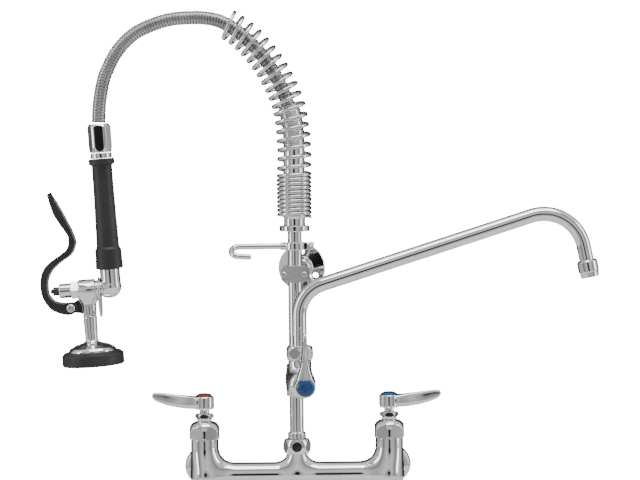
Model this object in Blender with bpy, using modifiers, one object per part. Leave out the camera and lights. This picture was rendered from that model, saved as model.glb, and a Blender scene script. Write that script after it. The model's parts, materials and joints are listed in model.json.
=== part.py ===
"""Wall-mounted pre-rinse faucet with an add-on spout, a spring-hung hose and a spray gun.

Every real piece is its own object. Units are metres, +Z is up, +X runs along the wall and +Y runs into it.
The origin lies on the wall plane, midway between the two water inlets.
"""
import math

import bmesh
import bpy
from mathutils import Matrix, Vector

# ---------------------------------------------------------------- driving dimensions
VALVE_SPACING = 0.2032            # between the two valve axes, 8 inches
INLET_SHIFT = 0.004               # how far each S-union carries its wall inlet outwards
RISER_TO_WALL = 0.080
GAP = 0.0003                      # running or seating clearance between neighbours
CUTTER_TWIST = 0.11               # turns a cutter's facets away from those of the piece it cuts
BORE_TWIST = 0.05                 # and a plain bore's away from both
WELD = 0.00001                    # slivers left by a Boolean are closed up to this length

COLUMN_RADIUS = 0.01525
COLUMN_TOP = 0.0392
CROSSBAR_RADIUS = 0.013
WATERWAY_RADIUS = 0.0062
RISER_RADIUS = 0.0079
RISER_BORE = 0.0065

ADDON_HEIGHT = 0.104              # height of the add-on faucet's valve axis
ADDON_TURN = math.radians(6.0)    # the add-on faucet is screwed home slightly past square
SPOUT_AHEAD = 0.042               # spout axis in front of the riser
SPOUT_RADIUS = 0.008
SPOUT_WALL = 0.0012
SPOUT_RISE_END = 0.1765
SPOUT_LOW_BEND = 0.036
SPOUT_HIGH_BEND = 0.044
SPOUT_ARM = 0.238
SPOUT_ARM_SLOPE = math.radians(17.5)
SPOUT_END_SLOPE = math.radians(-78.5)
SPOUT_END_LENGTH = 0.0215

BRACKET_HEIGHT = 0.2202
BRACKET_TURN = math.radians(-5.3)
BRACKET_REACH = 0.0765            # riser axis to the back of the wall flange
HOOK_HEIGHT = 0.2507
HOOK_ROD = 0.0034                 # radius of the hook's round bar
SEAT_BOTTOM = 0.267               # underside of the spring seat, where the riser ends
SPRING_START = 0.2830
SPRING_WIRE = 0.00225             # radius of the spring wire
SPRING_RADIUS = 0.01705           # centre of the wire, at the foot
SPRING_RADIUS_TOP = 0.0152
TIGHT_TURNS = 10
TIGHT_PITCH = 0.0047
OPEN_TURNS = 18
TURN_POINTS = 8
HOSE_RADIUS = 0.00775

GUN_TILT = math.radians(-3.5)
GUN_TOP = Vector((-0.2133, -RISER_TO_WALL, 0.388))
VALVE_AXIS = -0.181               # height of the spray valve's axis below the gun's top
SPRAY_AXIS = -0.0254              # sideways place of the spray head's axis
LEVER_PIVOT = Vector((-0.0454, 0.0, -0.2003))
LEVER_THICKNESS = 0.0095
LUG_THICKNESS = 0.004

# Middle line of the spring, across the wall and up, above its close-wound foot.
SPRING_ROUTE = ((0.0, 0.3271), (0.0005, 0.360), (-0.0033, 0.397), (-0.0097, 0.418), (-0.0188, 0.437),
                (-0.0292, 0.454), (-0.0436, 0.472), (-0.0578, 0.4852), (-0.0715, 0.4945))
# Middle line of the hose, from the top of its end sleeve to the gun.
HOSE_ROUTE = ((-0.0055, 0.4050), (-0.0102, 0.4185), (-0.0188, 0.4370), (-0.0292, 0.4540), (-0.0436, 0.4715),
              (-0.0578, 0.4845), (-0.0700, 0.4930), (-0.0820, 0.4985), (-0.0975, 0.5015), (-0.1135, 0.5018),
              (-0.1310, 0.5005), (-0.1475, 0.4965), (-0.1670, 0.4885), (-0.1820, 0.4775), (-0.1940, 0.4630),
              (-0.2015, 0.4490), (-0.2066, 0.4370), (-0.2103, 0.4210), (-0.2126, 0.4040), (-0.2133, 0.3883))
HOSE_LEAVES_SPRING = 7            # the route point where the hose comes out of the spring
HOSE_POINT_SPACING = 0.012
HOSE_STUB = 0.0015                # straight stub at a hose's joint face

# ---------------------------------------------------------------- materials
MATERIALS = {
    # name: (colour, roughness, metallic)
    "chrome": ((0.82, 0.83, 0.84, 1.0), 0.08, 1.0),
    "spring_steel": ((0.72, 0.73, 0.74, 1.0), 0.14, 1.0),
    "hose_steel": ((0.55, 0.55, 0.54, 1.0), 0.30, 1.0),
    "stainless": ((0.66, 0.66, 0.66, 1.0), 0.28, 1.0),
    "black_rubber": ((0.018, 0.018, 0.019, 1.0), 0.62, 0.0),
    "black_plastic": ((0.022, 0.022, 0.024, 1.0), 0.40, 0.0),
    "grey_plastic": ((0.30, 0.31, 0.32, 1.0), 0.45, 0.0),
    "red_plastic": ((0.60, 0.04, 0.03, 1.0), 0.25, 0.0),
    "blue_plastic": ((0.03, 0.20, 0.52, 1.0), 0.25, 0.0),
}


def clear_scene():
    for item in list(bpy.data.objects):
        bpy.data.objects.remove(item, do_unlink=True)


def new_collection(name):
    group = bpy.data.collections.new(name)
    bpy.context.scene.collection.children.link(group)
    return group


def make_material(name):
    colour, roughness, metallic = MATERIALS[name]
    material = bpy.data.materials.new(name)
    material.use_nodes = True
    shader = material.node_tree.nodes["Principled BSDF"]
    shader.inputs["Base Color"].default_value = colour
    shader.inputs["Roughness"].default_value = roughness
    shader.inputs["Metallic"].default_value = metallic
    return material


clear_scene()
PARTS = new_collection("pre_rinse_faucet")
CUTTERS = new_collection("cutters")
PAINT = {name: make_material(name) for name in MATERIALS}


# ---------------------------------------------------------------- modelling helpers
def add_object(name, data, paint=None):
    """Put data in the scene: a part when it has a paint, otherwise a hidden cutter."""
    item = bpy.data.objects.new(name, data)
    if paint:
        PARTS.objects.link(item)
        data.materials.append(PAINT[paint])
    else:
        CUTTERS.objects.link(item)
        item.hide_render = True
        item.display_type = "WIRE"
    return item


def empty(name, location, rotation=(0.0, 0.0, 0.0)):
    item = bpy.data.objects.new(name, None)
    item.location = location
    item.rotation_euler = rotation
    PARTS.objects.link(item)
    return item


def put(item, location=(0.0, 0.0, 0.0), rotation=(0.0, 0.0, 0.0), parent=None):
    item.location = location
    item.rotation_euler = rotation
    item.parent = parent
    return item


def facets(radius):
    """Facets round a turned piece, more on a larger one."""
    if radius < 0.006:
        return 10
    return 14 if radius < 0.020 else 20


def turned(name, profile, paint=None, hollow=False, steps=None, twist=CUTTER_TWIST):
    """Turn a (radius, height) profile, listed from the top down its outer side, about Z."""
    points = [(radius, 0.0, height) for radius, height in profile]
    edges = [(i, i + 1) for i in range(len(points) - 1)]
    if hollow:
        edges.append((len(points) - 1, 0))
    mesh = bpy.data.meshes.new(name)
    mesh.from_pydata(points, edges, [])
    if not paint:
        mesh.transform(Matrix.Rotation(twist, 4, "Z"))
    steps = steps or facets(max(radius for radius, _ in profile))
    item = add_object(name, mesh, paint)
    screw = item.modifiers.new("Turn", "SCREW")
    screw.axis = "Z"
    screw.angle = math.tau
    screw.steps = steps
    screw.render_steps = steps
    screw.use_merge_vertices = True
    screw.merge_threshold = 0.00001
    return item


def rod(name, radius, top, bottom, paint=None, steps=None):
    profile = [(0, top), (radius, top), (radius, bottom), (0, bottom)]
    return turned(name, profile, paint, steps=steps, twist=BORE_TWIST)


def ring(name, outer, inner, top, bottom, paint):
    profile = [(outer, top), (outer, bottom), (inner, bottom), (inner, top)]
    return turned(name, profile, paint, hollow=True)


def block(name, low, high):
    mesh = bpy.data.meshes.new(name)
    shape = bmesh.new()
    bmesh.ops.create_cube(shape, size=1.0)
    low, high = Vector(low), Vector(high)
    size = high - low
    bmesh.ops.scale(shape, vec=size, verts=shape.verts)
    bmesh.ops.translate(shape, vec=(low + high) / 2, verts=shape.verts)
    shape.to_mesh(mesh)
    shape.free()
    return add_object(name, mesh)


def hexagon(name, flats, top, bottom, paint=None, corner_turn=0.0):
    """Hexagonal prism about Z. Its corners lie along +X and -X when corner_turn is zero."""
    mesh = bpy.data.meshes.new(name)
    shape = bmesh.new()
    radius = flats / math.sqrt(3)
    bmesh.ops.create_cone(shape, cap_ends=True, segments=6, radius1=radius, radius2=radius,
                          depth=top - bottom)
    first_corner = math.pi / 2    # a new cone starts its corners along +Y
    bmesh.ops.rotate(shape, cent=(0, 0, 0), verts=shape.verts,
                     matrix=Matrix.Rotation(corner_turn - first_corner, 3, "Z"))
    bmesh.ops.translate(shape, vec=(0, 0, (top + bottom) / 2), verts=shape.verts)
    shape.to_mesh(mesh)
    shape.free()
    return add_object(name, mesh, paint)


def combine(item, other, operation):
    """Boolean with a cutter that shares the part's own local frame."""
    other.parent = item.parent
    boolean = item.modifiers.new(operation.title(), "BOOLEAN")
    boolean.operation = operation
    boolean.object = other
    boolean.solver = "EXACT"
    return item


def cut(item, *cutters):
    for cutter in cutters:
        combine(item, cutter, "DIFFERENCE")
    return item


def fuse(item, *others):
    for other in others:
        combine(item, other, "UNION")
    return item


def keep(item, limit):
    return combine(item, limit, "INTERSECT")


def through(points, spacing=None, per_span=6, closed=False):
    """Points along a smooth Catmull-Rom curve through the given points, evenly spaced if asked."""
    points = [Vector(p) for p in points]
    count = len(points)
    fine = []
    for i in range(count if closed else count - 1):
        if closed:
            a, b, c, d = (points[(i + k) % count] for k in (-1, 0, 1, 2))
        else:
            b, c = points[i], points[i + 1]
            a = points[i - 1] if i else b * 2 - c
            d = points[i + 2] if i + 2 < count else c * 2 - b
        for step in range(per_span):
            t = step / per_span
            fine.append(0.5 * (2 * b + (c - a) * t + (2 * a - 5 * b + 4 * c - d) * t * t
                               + (3 * b - a - 3 * c + d) * t * t * t))
    if not closed:
        fine.append(points[-1])
    return even(fine, spacing) if spacing else fine


def even(points, spacing):
    """Resample an open line at equal steps close to the given spacing."""
    lengths = [0.0]
    for a, b in zip(points, points[1:]):
        lengths.append(lengths[-1] + (b - a).length)
    steps = max(1, round(lengths[-1] / spacing))
    result = []
    span = 0
    for i in range(steps + 1):
        target = lengths[-1] * i / steps
        while span < len(points) - 2 and lengths[span + 1] < target:
            span += 1
        share = (target - lengths[span]) / max(lengths[span + 1] - lengths[span], 1e-9)
        result.append(points[span].lerp(points[span + 1], min(share, 1.0)))
    return result


def wire_curve(name, points, radius, detail, caps=True, closed=False):
    data = bpy.data.curves.new(name, "CURVE")
    data.dimensions = "3D"
    data.bevel_depth = radius
    data.bevel_resolution = detail
    data.use_fill_caps = caps
    spline = data.splines.new("POLY")
    spline.points.add(len(points) - 1)
    for target, point in zip(spline.points, points):
        target.co = (*point, 1.0)
    spline.use_cyclic_u = closed
    return data


def wire(name, points, radius, paint, detail=2, closed=False):
    return add_object(name, wire_curve(name, points, radius, detail, not closed, closed), paint)


def mesh_of(name, curve_data, paint=None):
    """Turn curve data into a welded mesh object that Booleans can use."""
    guide = bpy.data.objects.new(name + "_curve", curve_data)
    bpy.context.scene.collection.objects.link(guide)
    bpy.context.view_layer.update()
    evaluated = guide.evaluated_get(bpy.context.evaluated_depsgraph_get())
    mesh = bpy.data.meshes.new_from_object(evaluated)
    mesh.name = name
    shape = bmesh.new()
    shape.from_mesh(mesh)
    bmesh.ops.remove_doubles(shape, verts=shape.verts, dist=0.000005)
    bmesh.ops.recalc_face_normals(shape, faces=shape.faces)
    shape.to_mesh(mesh)
    shape.free()
    mesh.materials.clear()
    item = add_object(name, mesh, paint)
    item.matrix_world = guide.matrix_world
    bpy.data.objects.remove(guide, do_unlink=True)
    return item


def pipe(name, points, radius, wall, paint, detail=3):
    """Open-ended bent tube with a real wall."""
    item = mesh_of(name, wire_curve(name, points, radius, detail, caps=False), paint)
    solid = item.modifiers.new("Wall", "SOLIDIFY")
    solid.thickness = wall
    solid.offset = -1.0
    return item


def plate(name, outline, thickness, paint=None, upright=True):
    """Flat outline extruded to both sides; upright puts it in the XZ plane."""
    data = bpy.data.curves.new(name, "CURVE")
    data.dimensions = "2D"
    data.fill_mode = "BOTH"
    data.extrude = thickness / 2
    spline = data.splines.new("POLY")
    spline.points.add(len(outline) - 1)
    for target, point in zip(spline.points, outline):
        target.co = (point[0], point[1], 0.0, 1.0)
    spline.use_cyclic_u = True
    item = mesh_of(name, data, paint)
    if upright:
        item.data.transform(Matrix.Rotation(math.pi / 2, 4, "X"))
    return item


def arc(centre, radius, start, stop, steps):
    """Points on an arc in a plane, angles in radians."""
    angles = [start + (stop - start) * i / steps for i in range(steps + 1)]
    return [(centre[0] + radius * math.cos(a), centre[1] + radius * math.sin(a)) for a in angles]


# ---------------------------------------------------------------- valves, shared by all three taps
class ValveSize:
    """Heights above the seat face of a tap body, and radii, of one tap's parts."""

    def __init__(self, flats, shoulder, packing, hub_bottom, hub_top, hub_radius):
        self.flats = flats
        self.shoulder = shoulder
        self.packing = packing
        self.hub_bottom = hub_bottom
        self.hub_top = hub_top
        self.hub_radius = hub_radius


SIDE_TAP = ValveSize(0.0325, 0.0192, 0.0281, 0.0324, 0.0470, 0.0110)
FRONT_TAP = ValveSize(0.0292, 0.0165, 0.0240, 0.0275, 0.0415, 0.0113)
TAP_BORE = 0.0090
STEM_RADIUS = 0.0040
SPLINE_RADIUS = 0.0034
BUTTON_RADIUS = 0.0094
SCREW_SHANK = 0.0014
HUB_POCKET = 0.0070
HUB_FLOOR = 0.0045                # depth of the screw pocket in the hub


def bonnet_nut(prefix, size, frame, corner_turn):
    """Hexagon nut turned to a domed shoulder, with a skirt that screws into the tap's bore."""
    top = size.shoulder
    nut = hexagon(prefix + "_bonnet_nut", size.flats, top + 0.001, -0.001, "chrome", corner_turn)
    put(nut, parent=frame)
    round_radius = size.flats / math.sqrt(3) - 0.0012
    dome = [(0, top), (round_radius - 0.0080, top), (round_radius - 0.0048, top - 0.0012),
            (round_radius - 0.0021, top - 0.0040), (round_radius - 0.0005, top - 0.0080),
            (round_radius, top - 0.0120), (round_radius, 0.0012), (round_radius - 0.0012, 0.0), (0, 0.0)]
    keep(nut, turned(prefix + "_bonnet_dome", dome, steps=20))
    fuse(nut, rod(prefix + "_bonnet_skirt", TAP_BORE - GAP, 0.002, -0.014))
    cut(nut, rod(prefix + "_bonnet_bore", STEM_RADIUS + GAP, top + 0.01, -0.02))
    return nut


def packing_nut(prefix, size, frame):
    low, high = size.shoulder + GAP, size.packing
    middle = low + (high - low) * 0.4
    nut = turned(prefix + "_packing_nut", [
        (0.0068, high), (0.0098, high - 0.0008), (0.0105, high - 0.0022), (0.0105, middle + 0.001),
        (0.0086, middle - 0.0004), (0.0080, low), (STEM_RADIUS + GAP, low), (STEM_RADIUS + GAP, high)],
        "chrome", hollow=True)
    put(nut, parent=frame)
    keep(nut, hexagon(prefix + "_packing_flats", 0.0190, high + 0.001, low - 0.001))
    return nut


def valve_stem(prefix, size, frame):
    """Stem with its washer disc below, a collar under the hub and a threaded end for the handle screw."""
    seat = -0.0215
    top = size.hub_top - HUB_FLOOR - 0.0012 - GAP
    stem = turned(prefix + "_valve_stem", [
        (0, top - 0.009), (SCREW_SHANK + GAP, top - 0.009), (SCREW_SHANK + GAP, top),
        (SPLINE_RADIUS, top), (SPLINE_RADIUS, size.hub_bottom - GAP), (0.0055, size.hub_bottom - GAP),
        (0.0055, size.packing + GAP), (STEM_RADIUS, size.packing + GAP), (STEM_RADIUS, seat + 0.0045),
        (0.0078, seat + 0.0035), (0.0078, seat), (0, seat)], "chrome")
    return put(stem, parent=frame)


LEVER_CAST_HEIGHT = 0.0146       # hub height at which the lever's outline is drawn
LEVER_SIDE = ((0.0, 0.0002), (0.0176, 0.0008), (0.0288, 0.0022), (0.0400, 0.0045), (0.0512, 0.0084),
              (0.0560, 0.0118), (0.0577, 0.0146), (0.0566, 0.0178), (0.0530, 0.0192), (0.0456, 0.0190),
              (0.0288, 0.0168), (0.0115, 0.0150), (0.0, 0.0144))
LEVER_PLAN = ((-0.0010, 0.0085), (0.0060, 0.0090), (0.0100, 0.0087), (0.0167, 0.0066), (0.0240, 0.0048),
              (0.0340, 0.0035), (0.0460, 0.0028), (0.0590, 0.0022))


def lever_handle(prefix, size, frame, turn):
    height = size.hub_top - size.hub_bottom
    pivot = empty(prefix + "_handle_axis", (0, 0, size.hub_bottom), (0, 0, turn))
    pivot.parent = frame
    handle = turned(prefix + "_lever_handle", [
        (0, height), (size.hub_radius - 0.0008, height), (size.hub_radius, height - 0.001),
        (size.hub_radius, 0.0015), (size.hub_radius - 0.0014, 0.0), (0, 0.0)], "chrome")
    put(handle, parent=pivot)
    stretch = height / LEVER_CAST_HEIGHT
    side = [(x, z * stretch) for x, z in LEVER_SIDE]
    blade = plate(prefix + "_lever_side", side, 0.03)
    plan = list(LEVER_PLAN) + [(x, -y) for x, y in reversed(LEVER_PLAN)]
    outline = plate(prefix + "_lever_plan", plan, 0.06, upright=False)
    blade.parent = pivot
    keep(blade, outline)
    fuse(handle, blade)
    cut(handle, rod(prefix + "_hub_pocket", HUB_POCKET, height + 0.01, height - HUB_FLOOR),
        rod(prefix + "_hub_bore", SPLINE_RADIUS + GAP, height - HUB_FLOOR - 0.0012, -0.01),
        rod(prefix + "_hub_screw_hole", SCREW_SHANK + GAP, height, -0.01))
    return handle


def handle_screw(prefix, size, frame):
    seat = size.hub_top - HUB_FLOOR + GAP
    screw = turned(prefix + "_handle_screw", [
        (0, seat + 0.0022), (0.0028, seat + 0.0022), (0.0038, seat + 0.0010), (0.0038, seat),
        (SCREW_SHANK, seat), (SCREW_SHANK, seat - 0.0085), (0, seat - 0.0085)], "stainless")
    return put(screw, parent=frame)


def index_button(name, size, frame, paint):
    low = size.hub_top + GAP
    button = turned(name, [
        (0, low + 0.0033), (0.0045, low + 0.0029), (0.0078, low + 0.0018), (BUTTON_RADIUS, low + 0.0004),
        (BUTTON_RADIUS, low), (0, low)], paint)
    return put(button, parent=frame)


def tap(prefix, size, frame, button_name, button_paint, lever_turn, corner_turn):
    bonnet_nut(prefix, size, frame, corner_turn)
    packing_nut(prefix, size, frame)
    valve_stem(prefix, size, frame)
    lever_handle(prefix, size, frame, lever_turn)
    handle_screw(prefix, size, frame)
    index_button(button_name, size, frame, button_paint)


# ---------------------------------------------------------------- mixing body and its wall unions
INLET_STUB = 0.027                # from the column axis to the back of the inlet stub
UNION_LENGTH = 0.016
FLANGE_RADIUS = 0.022
FLANGE_DEPTH = 0.010
THREAD_LENGTH = 0.014             # threaded end that goes into the wall fitting


def mixing_body():
    riser = empty("riser_axis", (0, -RISER_TO_WALL, 0))
    half = VALVE_SPACING / 2
    along_x = (0, math.pi / 2, 0)
    body = put(rod("mixing_body", CROSSBAR_RADIUS, half, -half, "chrome"), rotation=along_x, parent=riser)
    boss = [(0, 0.0223), (0.01025, 0.0223), (0.01025, 0.0200)]
    boss += [(0.01025 + 0.0118 * (1 - math.cos(a)), 0.0200 - 0.0088 * math.sin(a))
             for a in (0.5, 0.9, 1.25, 1.5)]
    boss += [(0.0130, -0.0080), (0, -0.0080)]
    centre_boss = turned("outlet_boss", boss)
    keep(centre_boss, block("outlet_boss_limit", (-0.03, -0.0128, -0.01), (0.03, 0.0128, 0.03)))
    fuse(body, centre_boss)
    waterway = put(rod("waterway", WATERWAY_RADIUS, half, -half), rotation=along_x)
    cutters = [waterway, rod("outlet_bore", WATERWAY_RADIUS, 0.03, 0.0)]
    for side, name in ((-1, "left"), (1, "right")):
        column = [(0, COLUMN_TOP), (COLUMN_RADIUS - 0.0006, COLUMN_TOP), (COLUMN_RADIUS, COLUMN_TOP - 0.0006),
                  (COLUMN_RADIUS, 0.010), (0.0160, 0.002), (0.0160, -0.004), (0.0146, -0.009),
                  (0.0112, -0.0126), (0.0060, -0.0140), (0, -0.0142)]
        gusset = [(side * (half - 0.010), 0.0375), (side * (half - COLUMN_RADIUS + 0.0004), 0.0375)]
        gusset += [(side * (half - COLUMN_RADIUS - 0.0145 * (1 - math.cos(a))), 0.0375 - 0.0265 * math.sin(a))
                   for a in (0.35, 0.7, 1.05, 1.4, math.pi / 2)]
        gusset += [(side * (half - 0.010), 0.0110)]
        stub = rod(name + "_inlet_stub", 0.0118, 0.0, -INLET_STUB)
        fuse(body, put(turned(name + "_column", column), (side * half, 0, 0)),
             put(plate(name + "_gusset", gusset, 0.022)),
             put(stub, (side * half, 0, 0), (math.pi / 2, 0, 0)))
        cutters += [put(rod(name + "_tap_bore", TAP_BORE, COLUMN_TOP + 0.01, -0.002), (side * half, 0, 0)),
                    put(rod(name + "_inlet_bore", 0.0075, 0.0, -INLET_STUB - 0.01), (side * half, 0, 0),
                        (math.pi / 2, 0, 0))]
    cut(body, *cutters)
    return riser


def wall_union(side, name, riser):
    """Union nut, S-shaped connector and wall flange of one inlet. Local +Z points into the room."""
    half = VALVE_SPACING / 2
    shift = INLET_SHIFT
    frame = empty(name + "_inlet_axis", (side * half, RISER_TO_WALL, 0), (math.pi / 2, 0, 0))
    frame.parent = riser
    nut_front = RISER_TO_WALL - INLET_STUB + 0.006
    nut_back = nut_front - UNION_LENGTH
    nut = put(hexagon(name + "_inlet_union_nut", 0.0310, nut_front, nut_back, "chrome"), parent=frame)
    keep(nut, turned(name + "_union_chamfer", [
        (0, nut_front), (0.0152, nut_front), (0.0176, nut_front - 0.002), (0.0176, nut_back + 0.002),
        (0.0152, nut_back), (0, nut_back)]))
    cut(nut, rod(name + "_union_seat", 0.0124, nut_front + 0.01, nut_back + 0.0035),
        rod(name + "_union_mouth", 0.0106, nut_back + 0.0060, nut_back - 0.01))

    collar_top = RISER_TO_WALL - INLET_STUB - GAP
    tail = [(0.0072, collar_top), (0.0120, collar_top), (0.0120, nut_back + 0.0038),
            (0.0103, nut_back + 0.0038), (0.0103, 0.0240), (0.0072, 0.0240)]
    connector = put(turned(name + "_eccentric_connector", tail, "chrome", hollow=True), parent=frame)
    offset = (side * shift, 0, 0)
    fuse(connector, put(rod(name + "_connector_body", 0.0125, 0.0290, 0.0130), (side * shift / 2, 0, 0)),
         put(rod(name + "_connector_thread", 0.0104, 0.0150, -THREAD_LENGTH), offset))
    cut(connector, rod(name + "_connector_bore", 0.0072, 0.0600, 0.0200),
        put(rod(name + "_thread_bore", 0.0072, 0.0210, -THREAD_LENGTH - 0.01), offset))

    dome = [(0.0145, FLANGE_DEPTH), (0.0185, FLANGE_DEPTH - 0.0012), (0.0208, FLANGE_DEPTH - 0.0038),
            (FLANGE_RADIUS, 0.0022), (FLANGE_RADIUS, 0.0), (0.0185, 0.0), (0.0182, 0.0030),
            (0.0160, FLANGE_DEPTH - 0.0034), (0.0107, FLANGE_DEPTH - 0.0022), (0.0107, FLANGE_DEPTH)]
    put(turned(name + "_wall_flange", dome, "chrome", hollow=True), offset, parent=frame)


def side_tap(side, name, button_name, button_paint, riser):
    frame = empty(name + "_valve_axis", (side * VALVE_SPACING / 2, 0, COLUMN_TOP + GAP),
                  (0, 0, 0 if side > 0 else math.pi))
    frame.parent = riser
    tap(name, SIDE_TAP, frame, button_name, button_paint, 0.0, math.pi / 6)


# ---------------------------------------------------------------- riser
def barrel_nut(name, flats, radius, top, bottom, bore, frame, location=(0, 0, 0), corner_turn=0.0):
    """Ball-shaped hexagon nut whose flats are round facets."""
    middle = (top + bottom) / 2
    half = (top - bottom) / 2
    profile = [(0, top)]
    for step in range(9):
        height = half * (1 - step / 4)
        profile.append((math.sqrt(radius * radius - height * height), middle + height))
    profile.append((0, bottom))
    nut = put(turned(name, profile, "chrome"), location, parent=frame)
    keep(nut, put(hexagon(name + "_flats", flats, top + 0.001, bottom - 0.001, corner_turn=corner_turn),
                  location))
    cut(nut, put(rod(name + "_bore", bore, top + 0.01, bottom - 0.01), location))
    return nut


def riser_pieces(riser):
    barrel_nut("outlet_union_nut", 0.0289, 0.01545, 0.0386, 0.0226, 0.0093, riser)
    lower = [(RISER_RADIUS, ADDON_HEIGHT - 0.0183), (RISER_RADIUS, 0.0460), (0.0092, 0.0460),
             (0.0101, 0.0450), (0.0101, 0.0389), (0.0090, 0.0389), (0.0090, 0.0226),
             (RISER_BORE, 0.0226), (RISER_BORE, ADDON_HEIGHT - 0.0183)]
    put(turned("lower_riser", lower, "chrome", hollow=True), parent=riser)
    put(ring("upper_riser", RISER_RADIUS, RISER_BORE, SEAT_BOTTOM - GAP, 0.1213, "chrome"), parent=riser)


# ---------------------------------------------------------------- add-on faucet
def addon_faucet(riser):
    frame = empty("addon_axis", (0, 0, 0), (0, 0, ADDON_TURN))
    frame.parent = riser
    ahead = (math.pi / 2, 0, 0)
    seat = 0.0575
    barrel = [(0, 0.1210), (0.0100, 0.1210), (0.0110, 0.1200), (0.0110, ADDON_HEIGHT - 0.0170),
              (0.0100, ADDON_HEIGHT - 0.0180), (0, ADDON_HEIGHT - 0.0180)]
    body = put(turned("addon_body", barrel, "chrome"), parent=frame)
    # Local +Z of the pieces along the tap points out of the wall.
    throat = [(0, seat), (0.0140, seat), (0.0147, seat - 0.0010), (0.0147, seat - 0.0060),
              (0.0140, 0.0300), (0.0122, 0.0150), (0.0101, 0.0060), (0.0085, -0.0060), (0, -0.0060)]
    neck = [(0, 0.1287), (0.0120, 0.1287), (0.01275, 0.1280), (0.01275, 0.1200), (0.0135, 0.1130),
            (0.0135, 0.0990), (0.0110, 0.0925), (0.0050, 0.0895), (0, 0.0890)]
    spout_place = (0, -SPOUT_AHEAD, 0)
    tap_place = (0, 0, ADDON_HEIGHT)
    fuse(body, put(turned("addon_throat", throat), tap_place, ahead),
         put(turned("addon_spout_neck", neck), spout_place))
    cut(body, rod("addon_riser_bore", RISER_BORE, 0.14, 0.07),
        put(rod("addon_waterway", 0.0058, 0.0480, 0.0), tap_place, ahead),
        put(rod("addon_tap_bore", TAP_BORE, seat + 0.01, seat - 0.0240), tap_place, ahead),
        put(rod("addon_spout_bore", SPOUT_RADIUS + 0.0004, 0.14, 0.1147), spout_place),
        put(rod("addon_spout_port", 0.0050, 0.1200, 0.1050), spout_place))
    front = empty("addon_valve_axis", (0, -seat - GAP, ADDON_HEIGHT), ahead)
    front.parent = frame
    tap("addon", FRONT_TAP, front, "addon_index_button", "blue_plastic", math.pi / 2, 0.0)
    barrel_nut("spout_swivel_nut", 0.0283, 0.0153, 0.1445, 0.1290, SPOUT_RADIUS + GAP, frame, spout_place,
               math.pi / 6)
    return frame.matrix_basis @ Vector(spout_place)


def spout_points():
    """Middle line of the spout across the wall and up, from its foot, as local points."""
    low = (SPOUT_LOW_BEND, SPOUT_RISE_END)
    points = [(0.0, 0.1150), (0.0, 0.1300), (0.0, 0.1500)]
    points += arc(low, SPOUT_LOW_BEND, math.pi, math.pi / 2 + SPOUT_ARM_SLOPE, 8)
    start = points[-1]
    direction = (math.cos(SPOUT_ARM_SLOPE), math.sin(SPOUT_ARM_SLOPE))
    end = (start[0] + SPOUT_ARM * direction[0], start[1] + SPOUT_ARM * direction[1])
    high = (end[0] + SPOUT_HIGH_BEND * direction[1], end[1] - SPOUT_HIGH_BEND * direction[0])
    points += arc(high, SPOUT_HIGH_BEND, math.pi / 2 + SPOUT_ARM_SLOPE, math.pi / 2 + SPOUT_END_SLOPE, 11)
    last = points[-1]
    tip = (last[0] + SPOUT_END_LENGTH * math.cos(SPOUT_END_SLOPE),
           last[1] + SPOUT_END_LENGTH * math.sin(SPOUT_END_SLOPE))
    return points + [tip]


def spout(riser, place):
    swivel = empty("spout_swivel_axis", place)
    swivel.parent = riser
    points = spout_points()
    put(pipe("spout_tube", [(x, 0.0, z) for x, z in points], SPOUT_RADIUS, SPOUT_WALL, "chrome"),
        parent=swivel)
    tip = points[-1]
    outlet = empty("spout_outlet", (tip[0], 0.0, tip[1]), (0, -math.pi / 2 - SPOUT_END_SLOPE, 0))
    outlet.parent = swivel
    housing = [(0.0094, 0.0060), (0.0108, 0.0056), (0.0113, 0.0046), (0.0113, -0.0060), (0.01005, -0.0125),
               (0.0094, -0.0130), (0.0084, -0.0130), (0.0084, -0.0012), (0.0074, -0.0012), (0.0074, -0.0004),
               (SPOUT_RADIUS + GAP, -0.0004), (SPOUT_RADIUS + GAP, 0.0060)]
    put(turned("aerator_housing", housing, "chrome", hollow=True), parent=outlet)
    put(rod("aerator_screen", 0.0081, -0.0095, -0.0118, "stainless"), parent=outlet)


# ---------------------------------------------------------------- finger hook and wall bracket
def hook(riser):
    swivel = empty("hook_axis", (0, 0, HOOK_HEIGHT))
    swivel.parent = riser
    bracket = put(rod("finger_hook", 0.0112, 0.0043, -0.0043, "chrome"), parent=swivel)
    reach, bend, forward, drop = -0.0610, 0.0085, 0.0068, 0.0050
    bar = [(-0.0090, 0.0, 0.0), (-0.0300, 0.0, 0.0), (reach, 0.0, 0.0)]
    for angle in (math.radians(15 * step) for step in range(1, 13)):
        turned_by = 1 - math.cos(angle)
        bar.append((reach - bend * math.sin(angle), -forward * turned_by, -drop * turned_by))
    bar.append((-0.0500, -2 * forward, -2 * drop - 0.0008))
    along_x = (0, math.pi / 2, 0)
    fuse(bracket, mesh_of("hook_bar", wire_curve("hook_bar", bar, HOOK_ROD, 3)),
         put(rod("hook_sleeve", HOOK_ROD + 0.0010, -0.0080, -0.0160), rotation=along_x),
         block("hook_ear", (0.0080, -0.0045, -0.0043), (0.0145, 0.0045, 0.0043)))
    cut(bracket, rod("hook_bore", RISER_RADIUS + GAP, 0.02, -0.02),
        put(rod("hook_screw_hole", 0.0024, 0.0300, 0.0050), rotation=along_x))
    screw = turned("hook_screw", [
        (0, 0.0212), (0.0040, 0.0212), (0.0047, 0.0205), (0.0047, 0.0155), (0.0040, 0.0148),
        (0.0021, 0.0148), (0.0021, RISER_RADIUS + GAP), (0, RISER_RADIUS + GAP)], "stainless")
    put(screw, rotation=along_x, parent=swivel)


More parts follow.
